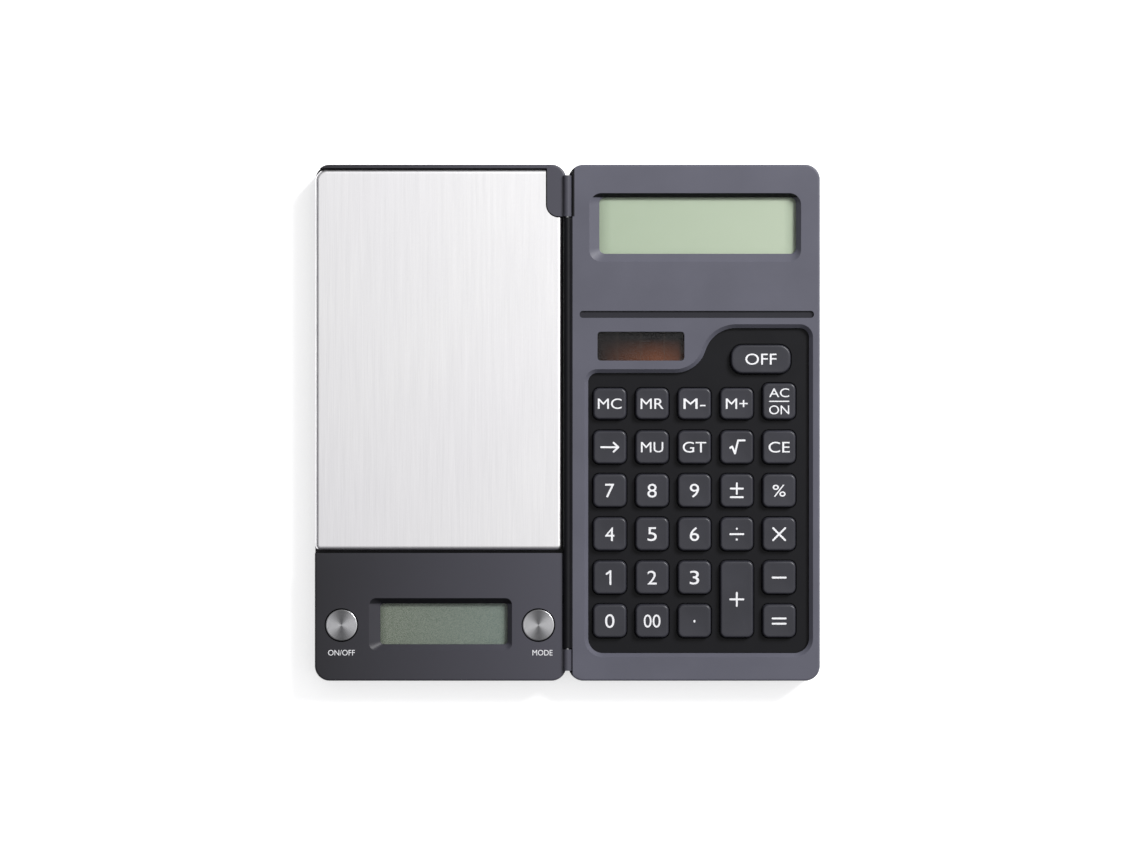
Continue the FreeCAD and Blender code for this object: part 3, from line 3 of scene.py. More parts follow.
import bpy
import numpy as np
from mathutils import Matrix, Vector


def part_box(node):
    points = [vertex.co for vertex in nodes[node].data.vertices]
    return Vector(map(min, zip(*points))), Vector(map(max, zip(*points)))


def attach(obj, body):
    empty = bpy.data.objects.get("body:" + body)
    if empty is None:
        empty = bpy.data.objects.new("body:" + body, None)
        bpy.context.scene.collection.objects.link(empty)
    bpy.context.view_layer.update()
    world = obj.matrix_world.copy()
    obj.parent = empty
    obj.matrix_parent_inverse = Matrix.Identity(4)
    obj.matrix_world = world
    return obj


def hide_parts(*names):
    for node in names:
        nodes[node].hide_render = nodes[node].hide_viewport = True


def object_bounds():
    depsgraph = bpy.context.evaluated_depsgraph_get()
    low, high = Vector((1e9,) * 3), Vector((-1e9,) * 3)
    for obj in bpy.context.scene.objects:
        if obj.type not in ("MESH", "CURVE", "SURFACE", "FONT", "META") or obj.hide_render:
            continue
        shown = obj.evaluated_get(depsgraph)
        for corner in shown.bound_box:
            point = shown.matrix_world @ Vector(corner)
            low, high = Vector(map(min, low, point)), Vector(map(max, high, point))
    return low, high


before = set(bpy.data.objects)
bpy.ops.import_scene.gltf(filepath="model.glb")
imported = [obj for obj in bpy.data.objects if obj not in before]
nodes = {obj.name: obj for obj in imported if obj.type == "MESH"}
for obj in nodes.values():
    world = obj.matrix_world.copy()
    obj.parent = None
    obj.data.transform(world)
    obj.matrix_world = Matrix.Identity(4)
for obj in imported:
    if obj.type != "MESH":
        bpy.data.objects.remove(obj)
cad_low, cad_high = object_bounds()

# ------------------------------------------------------------------------------------------
# Rear shells and coin cell door. Black ABS mouldings with a fine spark-eroded grain; the two
# trays are screwed to the shells above them, and the door slides off the cover leaf's near end.

MM = 0.001


class Wire:
    """One output of a shader node. Arithmetic on it adds Math nodes."""

    def __init__(self, finish, socket):
        self.finish = finish
        self.socket = socket

    def math(self, operation, *others):
        """A Math node's result for this wire and others, in that order."""
        inputs = dict(enumerate((self, *others)))
        return self.finish.node("ShaderNodeMath", {"operation": operation}, inputs)

    def __add__(self, other):
        return self.math("ADD", other)

    def __sub__(self, other):
        return self.math("SUBTRACT", other)

    def __rsub__(self, number):
        return self.finish.node("ShaderNodeMath", {"operation": "SUBTRACT"}, {0: number, 1: self})

    def __mul__(self, other):
        return self.math("MULTIPLY", other)

    def __truediv__(self, other):
        return self.math("DIVIDE", other)

    def __lt__(self, other):
        return self.math("LESS_THAN", other)

    def __gt__(self, other):
        return self.math("GREATER_THAN", other)


class Finish:
    """A material: its Principled shader, the constants set on it, and the nodes that vary over it."""

    def __init__(self, name, **constants):
        self.material = bpy.data.materials.new(name)
        self.material.use_nodes = True
        self.tree = self.material.node_tree
        self.shader = self.tree.nodes["Principled BSDF"]
        for socket, value in constants.items():
            self.shader.inputs[socket.replace("_", " ")].default_value = value
        self.place = self.node("ShaderNodeTexCoord", output="Object")

    def node(self, kind, settings=None, inputs=None, output=0):
        """Adds a node: its settings are set first, then the values or links of its sockets."""
        made = self.tree.nodes.new(kind)
        for name, value in (settings or {}).items():
            setattr(made, name, value)
        for key, value in (inputs or {}).items():
            if isinstance(value, Wire):
                self.tree.links.new(value.socket, made.inputs[key])
            else:
                made.inputs[key].default_value = value
        return Wire(self, made.outputs[output])

    def axes(self):
        """The three Object coordinates, in metres."""
        made = self.tree.nodes.new("ShaderNodeSeparateXYZ")
        self.tree.links.new(self.place.socket, made.inputs[0])
        return [Wire(self, socket) for socket in made.outputs]

    def noise(self, size, stretch=(1, 1, 1), detail=2.0, rough=0.5):
        """Fractal noise whose lumps are about size metres across, longer along an axis by its stretch."""
        scaled = self.node("ShaderNodeVectorMath", {"operation": "DIVIDE"},
                           {0: self.place, 1: tuple(size * s for s in stretch)})
        return self.node("ShaderNodeTexNoise", {}, {"Vector": scaled, "Scale": 1.0, "Detail": detail,
                                                    "Roughness": rough})

    def mix(self, factor, first, second):
        """A colour between two colours. A Mix node takes them at inputs 6 and 7 and gives it at output 2."""
        return self.node("ShaderNodeMix", {"data_type": "RGBA"}, {0: factor, 6: first, 7: second}, output=2)

    def range(self, value, low, high, new_low, new_high):
        """The value carried from one range to another, held at its ends."""
        return self.node("ShaderNodeMapRange", {}, {0: value, 1: low, 2: high, 3: new_low, 4: new_high})

    def bump(self, height, distance):
        """Relief that stands up by the distance where the height is 1."""
        relief = self.node("ShaderNodeBump", {}, {"Height": height, "Distance": distance})
        self.drive("Normal", relief)

    def drive(self, socket, wire):
        """Runs a wire into a socket of the Principled shader."""
        self.tree.links.new(wire.socket, self.shader.inputs[socket])


def moulded_surface(name, roughness, grain, relief, gloss):
    """Moulded plastic without its colour: patches that are a little shinier, and a fine pebbled grain."""
    finish = Finish(name, IOR=1.5, Specular_IOR_Level=gloss)
    rub = finish.noise(5 * MM, detail=4)
    finish.drive("Roughness", finish.range(rub, 0.3, 0.7, roughness - 0.06, roughness + 0.06))
    finish.bump(finish.noise(grain, detail=1), relief)
    return finish


def moulded_plastic(name, color, roughness, grain=0.35 * MM, relief=0.012 * MM, gloss=0.4):
    """Moulded plastic whose colour drifts slowly to either side of its tone. Its tint is that colour."""
    finish = moulded_surface(name, roughness, grain, relief, gloss)
    dark = tuple(c * 0.86 for c in color) + (1,)
    light = tuple(c * 1.14 for c in color) + (1,)
    finish.tint = finish.mix(finish.noise(14 * MM, detail=3), dark, light)
    finish.drive("Base Color", finish.tint)
    return finish


def paint(node, finish):
    """Gives a CAD node one material."""
    mesh = nodes[node].data
    mesh.materials.clear()
    mesh.materials.append(finish.material)


rear_plastic = moulded_plastic("rear_plastic", (0.030, 0.031, 0.037), 0.52)
for node in ("rear_cover", "scale_base", "coin_cell_door"):
    paint(node, rear_plastic)


# ------------------------------------------------------------------------------------------
# Rubber feet. Eight black discs, pressed from sheet with a softened rim, glued into shallow
# seats under the two leaves.


def build(name, points, faces, finish, body, slot, smooth=True):
    """A mesh object at the origin, with a material, riding on a body. Its slot argument is not used."""
    mesh = bpy.data.meshes.new(name)
    mesh.from_pydata(points.tolist(), [], faces)
    mesh.validate()
    if smooth:
        mesh.shade_smooth()
    else:
        mesh.shade_flat()
    piece = bpy.data.objects.new(name, mesh)
    bpy.context.scene.collection.objects.link(piece)
    mesh.materials.append(finish.material)
    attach(piece, body)
    return piece


def skin(rings):
    """Points and faces of a closed skin through a stack of rings, each counter-clockwise from above.

    The rings run from the middle of the bottom, out and up, to the middle of the top. Each is joined to the
    next by quads, and the first and last are closed by a fan each.
    """
    count, around, _ = rings.shape
    points = np.concatenate([rings.reshape(-1, 3), rings[:1].mean(axis=1), rings[-1:].mean(axis=1)])
    i, j = np.meshgrid(np.arange(count - 1), np.arange(around), indexing="ij")
    following = (j + 1) % around
    quads = np.stack([i * around + j, i * around + following, (i + 1) * around + following,
                      (i + 1) * around + j], axis=-1).reshape(-1, 4)
    j = np.arange(around)
    following = (j + 1) % around
    low = np.stack([following, j, np.full(around, count * around)], axis=-1)
    last = (count - 1) * around
    top = np.stack([last + j, last + following, np.full(around, count * around + 1)], axis=-1)
    return points, quads.tolist() + low.tolist() + top.tolist()


def together(skins):
    """Several skins as one list of points and one list of faces."""
    points, faces, first = [], [], 0
    for skin_points, skin_faces in skins:
        points.append(skin_points)
        faces += [[first + index for index in face] for face in skin_faces]
        first += len(skin_points)
    return np.concatenate(points), faces


def turned(x, y, radius, height, around=48):
    """Rings of a turned form: at each step the ring has that radius about (x, y), at that height."""
    angle = np.linspace(0, 2 * np.pi, around, endpoint=False)
    radius, height = np.asarray(radius, float), np.asarray(height, float)
    rings = np.empty((len(radius), around, 3))
    rings[..., 0] = x + radius[:, None] * np.cos(angle)
    rings[..., 1] = y + radius[:, None] * np.sin(angle)
    rings[..., 2] = height[:, None]
    return rings


def solid_centres(node):
    """Centres of a group node's like solids, which stand in a left and a right column.

    A column's points are sorted by y, and a gap of over 2 mm between two of them parts two solids.
    """
    points = np.array([v.co[:] for v in nodes[node].data.vertices])
    low, high = points.min(axis=0), points.max(axis=0)
    middle = (low[0] + high[0]) / 2
    centres = []
    for column in (points[points[:, 0] < middle], points[points[:, 0] > middle]):
        along = np.sort(column[:, 1])
        gaps = np.flatnonzero(np.diff(along) > 2 * MM)
        starts = np.concatenate([[along[0]], along[gaps + 1]])
        ends = np.concatenate([along[gaps], [along[-1]]])
        x = (column[:, 0].min() + column[:, 0].max()) / 2
        centres += [(x, y) for y in (starts + ends) / 2]
    return centres


foot_rubber = moulded_plastic("foot_rubber", (0.018, 0.018, 0.018), 0.8, grain=0.5 * MM, relief=0.02 * MM)
foot_radius = 3.2 * MM
rim = 0.25 * MM
hollow = 0.06 * MM
bend = np.linspace(0, np.pi / 2, 5)
radius = np.concatenate([[0.4 * foot_radius, 0.8 * foot_radius], foot_radius - rim + rim * np.sin(bend),
                         [foot_radius, 0.5 * foot_radius]])
for node, body in (("rubber_feet", "calculator"), ("scale_feet", "scale_leaf")):
    low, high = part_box(node)
    height = np.concatenate([[low.z + hollow, low.z], low.z + rim - rim * np.cos(bend), [high.z, high.z]])
    feet = [skin(turned(x, y, radius, height)) for x, y in solid_centres(node)]
    piece = build(f"{body}_feet", *together(feet), foot_rubber, body, "foot_rubber")
    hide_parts(node)


# ------------------------------------------------------------------------------------------
# Screws. Blackened pan-head screws with a cross recess, six to a leaf, driven up through the
# rear shell into posts of the shell above.


def screw_finish():
    """Blackened steel, worn lighter and smoother in patches."""
    finish = Finish("black_screw", Metallic=0.9, IOR=1.5)
    worn = finish.noise(0.6 * MM, detail=4)
    finish.drive("Base Color", finish.mix(worn, (0.03, 0.03, 0.032, 1), (0.13, 0.13, 0.135, 1)))
    finish.drive("Roughness", finish.range(worn, 0.3, 0.7, 0.3, 0.5))
    return finish


def screw_skin(x, y, low, seat, top):
    """A screw from its head at the bottom, low, to its tip, top. The head ends at seat.

    The head's face is a polar grid, sunk where the cross is. It rises towards the rim by crown times the
    square of its radius over the head's.
    """
    head, shank, chamfer, tip = 1.8 * MM, 0.9 * MM, 0.2 * MM, 0.4 * MM
    face_rings, thread_turns = 22, 8
    radius = np.concatenate([np.linspace(0.04, 0.97, face_rings) * head, [head, head, shank],
                             np.tile([0.92 * shank, shank], thread_turns), [0.2 * shank]])
    threads = np.linspace(seat, top - tip, 2 * thread_turns)
    height = np.concatenate([np.full(face_rings, low), [low + chamfer, seat, seat], threads, [top]])
    rings = turned(x, y, radius, height, around=64)
    face = rings[:face_rings]
    across, along = np.abs(face[..., 0] - x), np.abs(face[..., 1] - y)
    arm, half, cross_depth, crown = 1.15 * MM, 0.24 * MM, 0.45 * MM, 0.25 * MM
    sunk = ((across < half) & (along < arm)) | ((along < half) & (across < arm))
    face[..., 2] += np.where(sunk, cross_depth, 0) + crown * (np.hypot(across, along) / head) ** 2
    return skin(rings)


black_screw = screw_finish()
head_height = 1.2 * MM
for node, body in (("case_screws", "calculator"), ("scale_screws", "scale_leaf")):
    low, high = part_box(node)
    screws = [screw_skin(x, y, low.z, low.z + head_height, high.z) for x, y in solid_centres(node)]
    piece = build(f"{body}_screws", *together(screws), black_screw, body, "black_screw")
    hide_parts(node)


# ------------------------------------------------------------------------------------------
# Inner works. Two green circuit boards, silicone dome mats and zebra strips, nickel-plated
# cells in sprung brass contacts, an aluminium load cell, the platform's bracket, the hinge pin.


def metal(name, color, roughness, streak):
    """Bare metal with faint streaks: streak says how far the noise is drawn out along each axis."""
    finish = Finish(name, Metallic=1.0)
    lines = finish.noise(0.12 * MM, streak, detail=3)
    dark = tuple(c * 0.82 for c in color) + (1,)
    finish.drive("Base Color", finish.mix(lines, dark, (*color, 1)))
    finish.drive("Roughness", finish.range(lines, 0.3, 0.7, roughness - 0.07, roughness + 0.07))
    finish.bump(lines, 0.004 * MM)
    return finish


def board_finish():
    """Green solder mask over copper tracks: bands of two crossed saw waves show as a lighter green."""
    finish = Finish("circuit_board", Roughness=0.35)
    track_pitch, lane_pitch = 1.27 * MM, 9 * MM
    x, y, _ = finish.axes()
    tracks = (x / track_pitch).math("FRACT") < 0.3
    lanes = (y / lane_pitch).math("FRACT") < 0.55
    copper = tracks * lanes
    finish.drive("Base Color", finish.mix(copper, (0.008, 0.07, 0.025, 1), (0.03, 0.19, 0.06, 1)))
    finish.bump(copper, 0.03 * MM)
    return finish


def zebra_finish():
    """Alternate black and pale silicone layers, 0.1 mm each."""
    finish = Finish("zebra_silicone", Roughness=0.7)
    x, _, _ = finish.axes()
    layer = (x / (0.2 * MM)).math("FRACT") < 0.5
    finish.drive("Base Color", finish.mix(layer, (0.5, 0.5, 0.48, 1), (0.02, 0.02, 0.02, 1)))
    return finish


board = board_finish()
zebra = zebra_finish()
silicone = moulded_plastic("silicone_grey", (0.42, 0.42, 0.41), 0.6, grain=0.8 * MM)
nickel = metal("cell_nickel", (0.66, 0.65, 0.62), 0.3, (6, 6, 1))
brass = metal("spring_brass", (0.72, 0.55, 0.28), 0.32, (1, 20, 1))
aluminium = metal("beam_aluminium", (0.72, 0.73, 0.75), 0.35, (1, 30, 1))
pin_steel = metal("pin_steel", (0.55, 0.55, 0.56), 0.28, (1, 30, 1))
bracket_plastic = moulded_plastic("bracket_plastic", (0.62, 0.62, 0.6), 0.5)
for node, finish in (("main_board", board), ("scale_board", board),
                     ("zebra_strip", zebra), ("scale_zebra", zebra),
                     ("key_mat", silicone), ("scale_button_mat", silicone),
                     ("button_cell", nickel), ("coin_cells", nickel),
                     ("cell_clip", brass), ("coin_cell_contacts", brass),
                     ("load_cell", aluminium), ("hinge_pin", pin_steel),
                     ("platform_bracket", bracket_plastic)):
    paint(node, finish)


# ------------------------------------------------------------------------------------------
# Displays. Each is a sandwich of glass and polariser over a grey-green reflector, blank because
# the unit is off, behind a clear acrylic lens that is glued into the shell from inside.


def display_finish(name, low, high, left, right, edge):
    """A blank reflective display: left and right are the colours at its two ends, edge the painted shade at
    its rim.
    """
    finish = Finish(name, Roughness=0.32, IOR=1.5, Specular_IOR_Level=0.3)
    x, y, _ = finish.axes()
    sideways = finish.range(x, low.x, high.x, 0.0, 1.0)
    body = finish.mix(sideways, left, right)
    out_x = (x - (low.x + high.x) / 2).math("ABSOLUTE") / ((high.x - low.x) / 2)
    out_y = (y - (low.y + high.y) / 2).math("ABSOLUTE") / ((high.y - low.y) / 2)
    # Painted shade: the display darkens towards its rim, where the recess walls shade it.
    rim_shade = finish.range(out_x.math("MAXIMUM", out_y), 0.84, 1.0, 0.0, 1.0)
    grain = finish.noise(0.25 * MM, detail=2)
    speckle = finish.mix(finish.range(grain, 0.35, 0.65, 0.0, 0.16), body, (0.85, 0.9, 0.8, 1))
    finish.drive("Base Color", finish.mix(rim_shade, speckle, edge))
    return finish


for node, name, left, right, edge in (
        ("lcd_glass", "lcd_green", (0.50, 0.61, 0.44, 1), (0.58, 0.68, 0.51, 1), (0.33, 0.40, 0.29, 1)),
        ("scale_lcd", "lcd_grey", (0.155, 0.185, 0.135, 1), (0.165, 0.22, 0.19, 1), (0.09, 0.11, 0.08, 1))):
    paint(node, display_finish(name, *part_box(node), left, right, edge))


# ------------------------------------------------------------------------------------------
# Solar cell. Four strips of amorphous silicon on glass, joined in a row, nearly black, with a
# red-brown patch of painted light where the light falls on them.


def solar_finish(low, high):
    """Near-black silicon, with a red-brown patch of painted light, strongest at the cell's low edge, right of
    its middle.
    """
    finish = Finish("solar_glass", Roughness=0.12, IOR=1.52, Specular_IOR_Level=0.12)
    x, y, _ = finish.axes()
    across = (x - low.x) / (high.x - low.x)
    down = (high.y - y) / (high.y - low.y)
    # Painted light: a red-brown patch where light falls, set in the colour.
    painted_glow_across = finish.range((across - 0.66).math("ABSOLUTE"), 0.0, 0.62, 1.0, 0.0)
    painted_glow = (painted_glow_across * finish.range(down, 0.3, 0.85, 0.0, 1.0)).math("SMOOTH_MIN", 1.0, 0.1)
    silicon = finish.mix(painted_glow, (0.008, 0.005, 0.006, 1), (0.17, 0.055, 0.024, 1))
    strip = (across * 4).math("FRACT")
    joint = (strip - 0.5).math("ABSOLUTE") > 0.485
    finish.drive("Base Color", finish.mix(joint * 0.5, silicon, (0.09, 0.07, 0.06, 1)))
    return finish


paint("solar_cell", solar_finish(*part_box("solar_cell")))


# ------------------------------------------------------------------------------------------
# Lenses. Clear acrylic panes, 0.8 mm thick, glued into the shells from inside over the display
# glass and the solar cell, with a hair of air between.


def rounded_rings(x, y, width, depth, corner, inset, scale, height, per_corner=7):
    """Rings of a moulded form with a rounded rectangle for its plan.

    At each step the rectangle is drawn in by inset, then shrunk about (x, y) by scale, at that height. A
    corner's points are its centre plus its radius times (cos, sin) of an angle that sweeps a quarter turn.
    """
    inset, scale, height = (np.asarray(values, float)[:, None] for values in (inset, scale, height))
    sweep = np.linspace(0, np.pi / 2, per_corner)
    turn = np.tile(sweep, 4) + np.repeat(np.arange(4) * np.pi / 2, per_corner)
    side_x = np.repeat([1, -1, -1, 1], per_corner)
    side_y = np.repeat([1, 1, -1, -1], per_corner)
    radius = np.maximum(corner - inset, 0.1 * MM)
    plan_x = side_x * (width / 2 - inset - radius) + radius * np.cos(turn)
    plan_y = side_y * (depth / 2 - inset - radius) + radius * np.sin(turn)
    return np.stack([x + scale * plan_x, y + scale * plan_y, height + 0 * plan_x], axis=-1)


def lens_finish():
    """Clear acrylic: nearly all see-through, with a faint drift in how polished it is."""
    finish = Finish("clear_lens", Alpha=0.13, IOR=1.49, Specular_IOR_Level=0.6)
    haze = finish.noise(8 * MM, detail=4)
    finish.drive("Base Color", finish.mix(haze, (0.01, 0.012, 0.011, 1), (0.04, 0.045, 0.042, 1)))
    finish.drive("Roughness", finish.range(haze, 0.3, 0.7, 0.03, 0.08))
    return finish


AIR = 0.03 * MM
LENS = 0.8 * MM


def lens_skin(behind, corner):
    """A flat pane with the outline of the node behind it, from AIR above that node's top to LENS above."""
    low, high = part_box(behind)
    x, y = (low.x + high.x) / 2, (low.y + high.y) / 2
    edge = 0.1 * MM
    inset = [edge, 0, 0, edge]
    height = high.z + np.array([AIR, AIR + edge, LENS - edge, LENS])
    return skin(rounded_rings(x, y, high.x - low.x, high.y - low.y, corner, inset, [1, 1, 1, 1], height))


clear_lens = lens_finish()
for name, body, node, behind in (
        ("window_panes", "calculator", "window_lenses", (("lcd_glass", 3.2 * MM), ("solar_cell", 0.9 * MM))),
        ("scale_pane", "scale_leaf", "scale_lens", (("scale_lcd", 1.8 * MM),))):
    panes = together([lens_skin(glass, corner) for glass, corner in behind])
    piece = build(name, *panes, clear_lens, body, "clear_lens", smooth=False)
    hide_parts(node)


# ------------------------------------------------------------------------------------------
# Upper shells. Satin plastic, bluish grey round the keys and darker round the scale, moulded
# with the hinge knuckles. The key well's floor, the groove across the face, the hinge barrel, the
# platform's deck and the far wall of each display's recess are near-black with painted shade, and
# painted light makes the scale panel lighter towards the hinge.

face_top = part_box("weighing_platform")[1].z + 0.2 * MM


def far_wall_shade(y, z, glass):
    """1 on the sloped far wall of a recess, which takes painted shade, found from the glass that lies under
    it.

    The wall's plan is a strip that reaches as far inside the glass's edge as outside it.
    """
    edge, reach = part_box(glass)[1].y, 1.15 * MM
    return (y > edge - reach) * (y < edge + reach) * (z < face_top - 0.05 * MM)


def inside_walls(x, y):
    """1 inside the outer walls of a leaf, 0 on them, so that painted shade on a floor doesn't colour the
    sides.
    """
    wall = 1.2 * MM
    return (x.math("ABSOLUTE") < cad_high.x - wall) * (y.math("ABSOLUTE") < cad_high.y - wall)


def face_finish():
    """Bluish-grey satin, made near-black by painted shade in the key well, the groove across the face
    and the far display wall.

    Painted shade makes the hinge barrel and the strip beside the cover's top knuckle near-black too.
    """
    finish = moulded_plastic("face_plastic", (0.088, 0.088, 0.111), 0.44, grain=0.3 * MM,
                             relief=0.008 * MM, gloss=0.16)
    well_depth, groove_depth = 1.9 * MM, 0.3 * MM
    barrel_edge, strip_edge, strip_length = 1.4 * MM, 1.9 * MM, 14 * MM
    x, y, z = finish.axes()
    inside = inside_walls(x, y)
    # Painted shade: the well floor, the groove, the hinge barrel, the strip by the top knuckle and the far
    # display wall are darkened where shade falls.
    well = (z < face_top - well_depth) * inside
    above_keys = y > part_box("key_off")[1].y + 5 * MM
    below_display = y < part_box("lcd_glass")[0].y - 2 * MM
    groove = (z < face_top - groove_depth) * above_keys * below_display * inside
    strip = (x < strip_edge) * (y > cad_high.y - strip_length)
    dark = well.math("MAXIMUM", groove * 0.82).math("MAXIMUM", x < barrel_edge).math("MAXIMUM", strip)
    dark = dark.math("MAXIMUM", far_wall_shade(y, z, "lcd_glass") * inside)
    finish.drive("Base Color", finish.mix(dark, finish.tint, (0.0045, 0.0045, 0.006, 1)))
    return finish


def panel_finish(low, high):
    """Darker violet-grey satin, with painted light making it lighter towards the hinge, and painted shade
    making it near-black on the deck and far display wall.
    """
    finish = moulded_plastic("panel_plastic", (0.020, 0.0195, 0.023), 0.42, grain=0.3 * MM,
                             relief=0.008 * MM, gloss=0.2)
    deck_depth = 2.0 * MM
    x, y, z = finish.axes()
    inside = inside_walls(x, y)
    # Painted light: the panel is made lighter towards the hinge.
    painted_light_ramp = finish.range(x, low.x, high.x, 0.0, 1.0)
    lighter = finish.mix(painted_light_ramp, finish.tint, (0.059, 0.058, 0.073, 1))
    # Painted shade: near-black on the deck under the platform and on the far display wall.
    deck = (z < face_top - deck_depth) * inside
    dark = deck.math("MAXIMUM", far_wall_shade(y, z, "scale_lcd") * inside)
    finish.drive("Base Color", finish.mix(dark, lighter, (0.006, 0.006, 0.008, 1)))
    return finish


paint("front_cover", face_finish())
paint("scale_panel", panel_finish(*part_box("scale_panel")))


# ------------------------------------------------------------------------------------------
# Keys. Thirty dark grey caps, each moulded with a drafted skirt, a rounded top edge and a
# shallow finger dish, and printed in off-white.


def key_finish():
    """Satin key plastic whose tone drifts from key to key."""
    finish = moulded_surface("key_plastic", roughness=0.36, grain=0.25 * MM, relief=0.006 * MM, gloss=0.35)
    drift = finish.noise(9 * MM, detail=1)
    finish.drive("Base Color", finish.mix(drift, (0.017, 0.017, 0.022, 1), (0.030, 0.030, 0.039, 1)))
    return finish


def print_finish():
    """Pad-printed ink: off-white, a little thin in places."""
    finish = Finish("legend_ink", IOR=1.45)
    thin = finish.noise(0.5 * MM, detail=3)
    finish.drive("Base Color", finish.mix(thin, (0.58, 0.58, 0.6, 1), (0.78, 0.78, 0.8, 1)))
    finish.drive("Roughness", finish.range(thin, 0.3, 0.7, 0.45, 0.6))
    return finish


DISH = 0.09 * MM
EDGE = 0.5 * MM
FLANGE = 0.6 * MM
DRAFT = math.tan(math.radians(4))


def key_skin(low, high, corner):
    """Flange, drafted skirt, quarter-round edge, then a dish.

    The dish's rings shrink by scale, and lie DISH * (1 - scale ** 2) below the cap's top.
    """
    x, y = (low.x + high.x) / 2, (low.y + high.y) / 2
    width, depth = high.x - low.x - 2 * FLANGE, high.y - low.y - 2 * FLANGE
    foot = high.z - 3.6 * MM
    skirt = high.z - 3.0 * MM
    lean = DRAFT * (high.z - EDGE - skirt)
    bend = np.linspace(0, np.pi / 2, 7)
    shrink = np.linspace(0.94, 0.04, 10)
    inset = np.concatenate([[-FLANGE, -FLANGE, -FLANGE, 0], lean + EDGE * (1 - np.cos(bend)),
                            np.full(10, lean + EDGE)])
    scale = np.concatenate([[0.1, 1, 1, 1], np.ones(7), shrink])
    height = np.concatenate([[foot, foot, skirt, skirt], high.z - EDGE + EDGE * np.sin(bend),
                             high.z - DISH * (1 - shrink ** 2)])
    return skin(rounded_rings(x, y, width, depth, corner, inset, scale, height))


def drape(points, low, high):
    """Points of a legend lifted onto the key's dish: key_skin's formula, its scale how far out they lie."""
    middle, half = (low + high) / 2, (high - low) / 2
    out_x = np.abs(points[:, 0] - middle.x) / (half.x - FLANGE - EDGE)
    out_y = np.abs(points[:, 1] - middle.y) / (half.y - FLANGE - EDGE)
    lifted = points.copy()
    lifted[:, 2] += high.z - DISH * (1 - np.maximum(out_x, out_y) ** 2)
    return lifted


def lettering(text, x, y, width, height):
    """Text as a thin closed solid: set in the built-in font, then stretched to its size and moved."""
    thickness, sunk = 0.06 * MM, 0.01 * MM
    curve = bpy.data.curves.new("lettering", "FONT")
    curve.body = text
    curve.extrude = 0.02
    curve.resolution_u = 6
    written = bpy.data.objects.new("lettering", curve)
    mesh = bpy.data.meshes.new_from_object(written)
    points = np.array([v.co[:] for v in mesh.vertices])
    faces = [list(polygon.vertices) for polygon in mesh.polygons]
    bpy.data.objects.remove(written)
    bpy.data.meshes.remove(mesh)
    low, high = points.min(axis=0), points.max(axis=0)
    stretch = np.array([width, height, thickness]) / (high - low)
    return (points - (low + high) / 2) * stretch + (x, y, -sunk), faces


def strokes(lines, x, y, size, width):
    """A drawn symbol: each line runs between two points of a square one unit wide, as a flat bar.

    A bar's outline is a rounded rectangle about the origin, turned to the line's direction and moved to its
    middle. Each bar is a few microns taller than the last, so that crossing tops don't coincide.
    """
    bars = []
    for count, (start, end) in enumerate(lines):
        start, end = np.array(start) * size, np.array(end) * size
        run = end - start
        length = np.hypot(*run) + width
        height = [-0.04 * MM, (0.02 + 0.004 * count) * MM]
        rings = rounded_rings(0, 0, length, width, width * 0.45, [0, 0], [1, 1], height, per_corner=5)
        turn = np.arctan2(run[1], run[0])
        spin = np.array([[np.cos(turn), -np.sin(turn)], [np.sin(turn), np.cos(turn)]])
        rings[..., :2] = rings[..., :2] @ spin.T + (start + end) / 2 + (x, y)
        bars.append(skin(rings))
    return together(bars)


# A key's symbol as lines in a square one unit wide, and a key's word with its width and height in mm.
SYMBOLS = {
    "minus": [((-0.5, 0), (0.5, 0))],
    "plus": [((-0.5, 0), (0.5, 0)), ((0, -0.5), (0, 0.5))],
    "times": [((-0.46, -0.46), (0.46, 0.46)), ((-0.46, 0.46), (0.46, -0.46))],
    "divide": [((-0.5, 0), (0.5, 0)), ((0, 0.40), (0, 0.42)), ((0, -0.42), (0, -0.40))],
    "equals": [((-0.5, 0.2), (0.5, 0.2)), ((-0.5, -0.2), (0.5, -0.2))],
    "sign": [((-0.46, 0.16), (0.46, 0.16)), ((0, -0.24), (0, 0.56)), ((-0.46, -0.5), (0.46, -0.5))],
    "point": [((0, -0.04), (0, 0.02))],
    "backspace": [((-0.66, 0), (0.66, 0)), ((0.3, 0.34), (0.66, 0)), ((0.3, -0.34), (0.66, 0))],
    "root": [((-0.5, -0.05), (-0.36, 0.05)), ((-0.36, 0.05), (-0.14, -0.48)), ((-0.14, -0.48), (0.1, 0.52)),
             ((0.1, 0.52), (0.6, 0.52))],
    "1": [((0.05, -0.5), (0.05, 0.5)), ((0.05, 0.5), (-0.24, 0.28))],
}
WORDS = {
    "off": ("OFF", 8.4, 3.0), "mc": ("MC", 6.4, 2.8), "mr": ("MR", 6.2, 2.8),
    "m_minus": ("M-", 5.9, 2.8), "m_plus": ("M+", 5.9, 2.8), "mu": ("MU", 6.0, 2.8),
    "gt": ("GT", 6.3, 2.9), "ce": ("CE", 5.7, 2.9), "percent": ("%", 3.5, 3.2), "00": ("00", 4.5, 3.5),
}
DIGIT_SIZE = (2.5, 3.7)

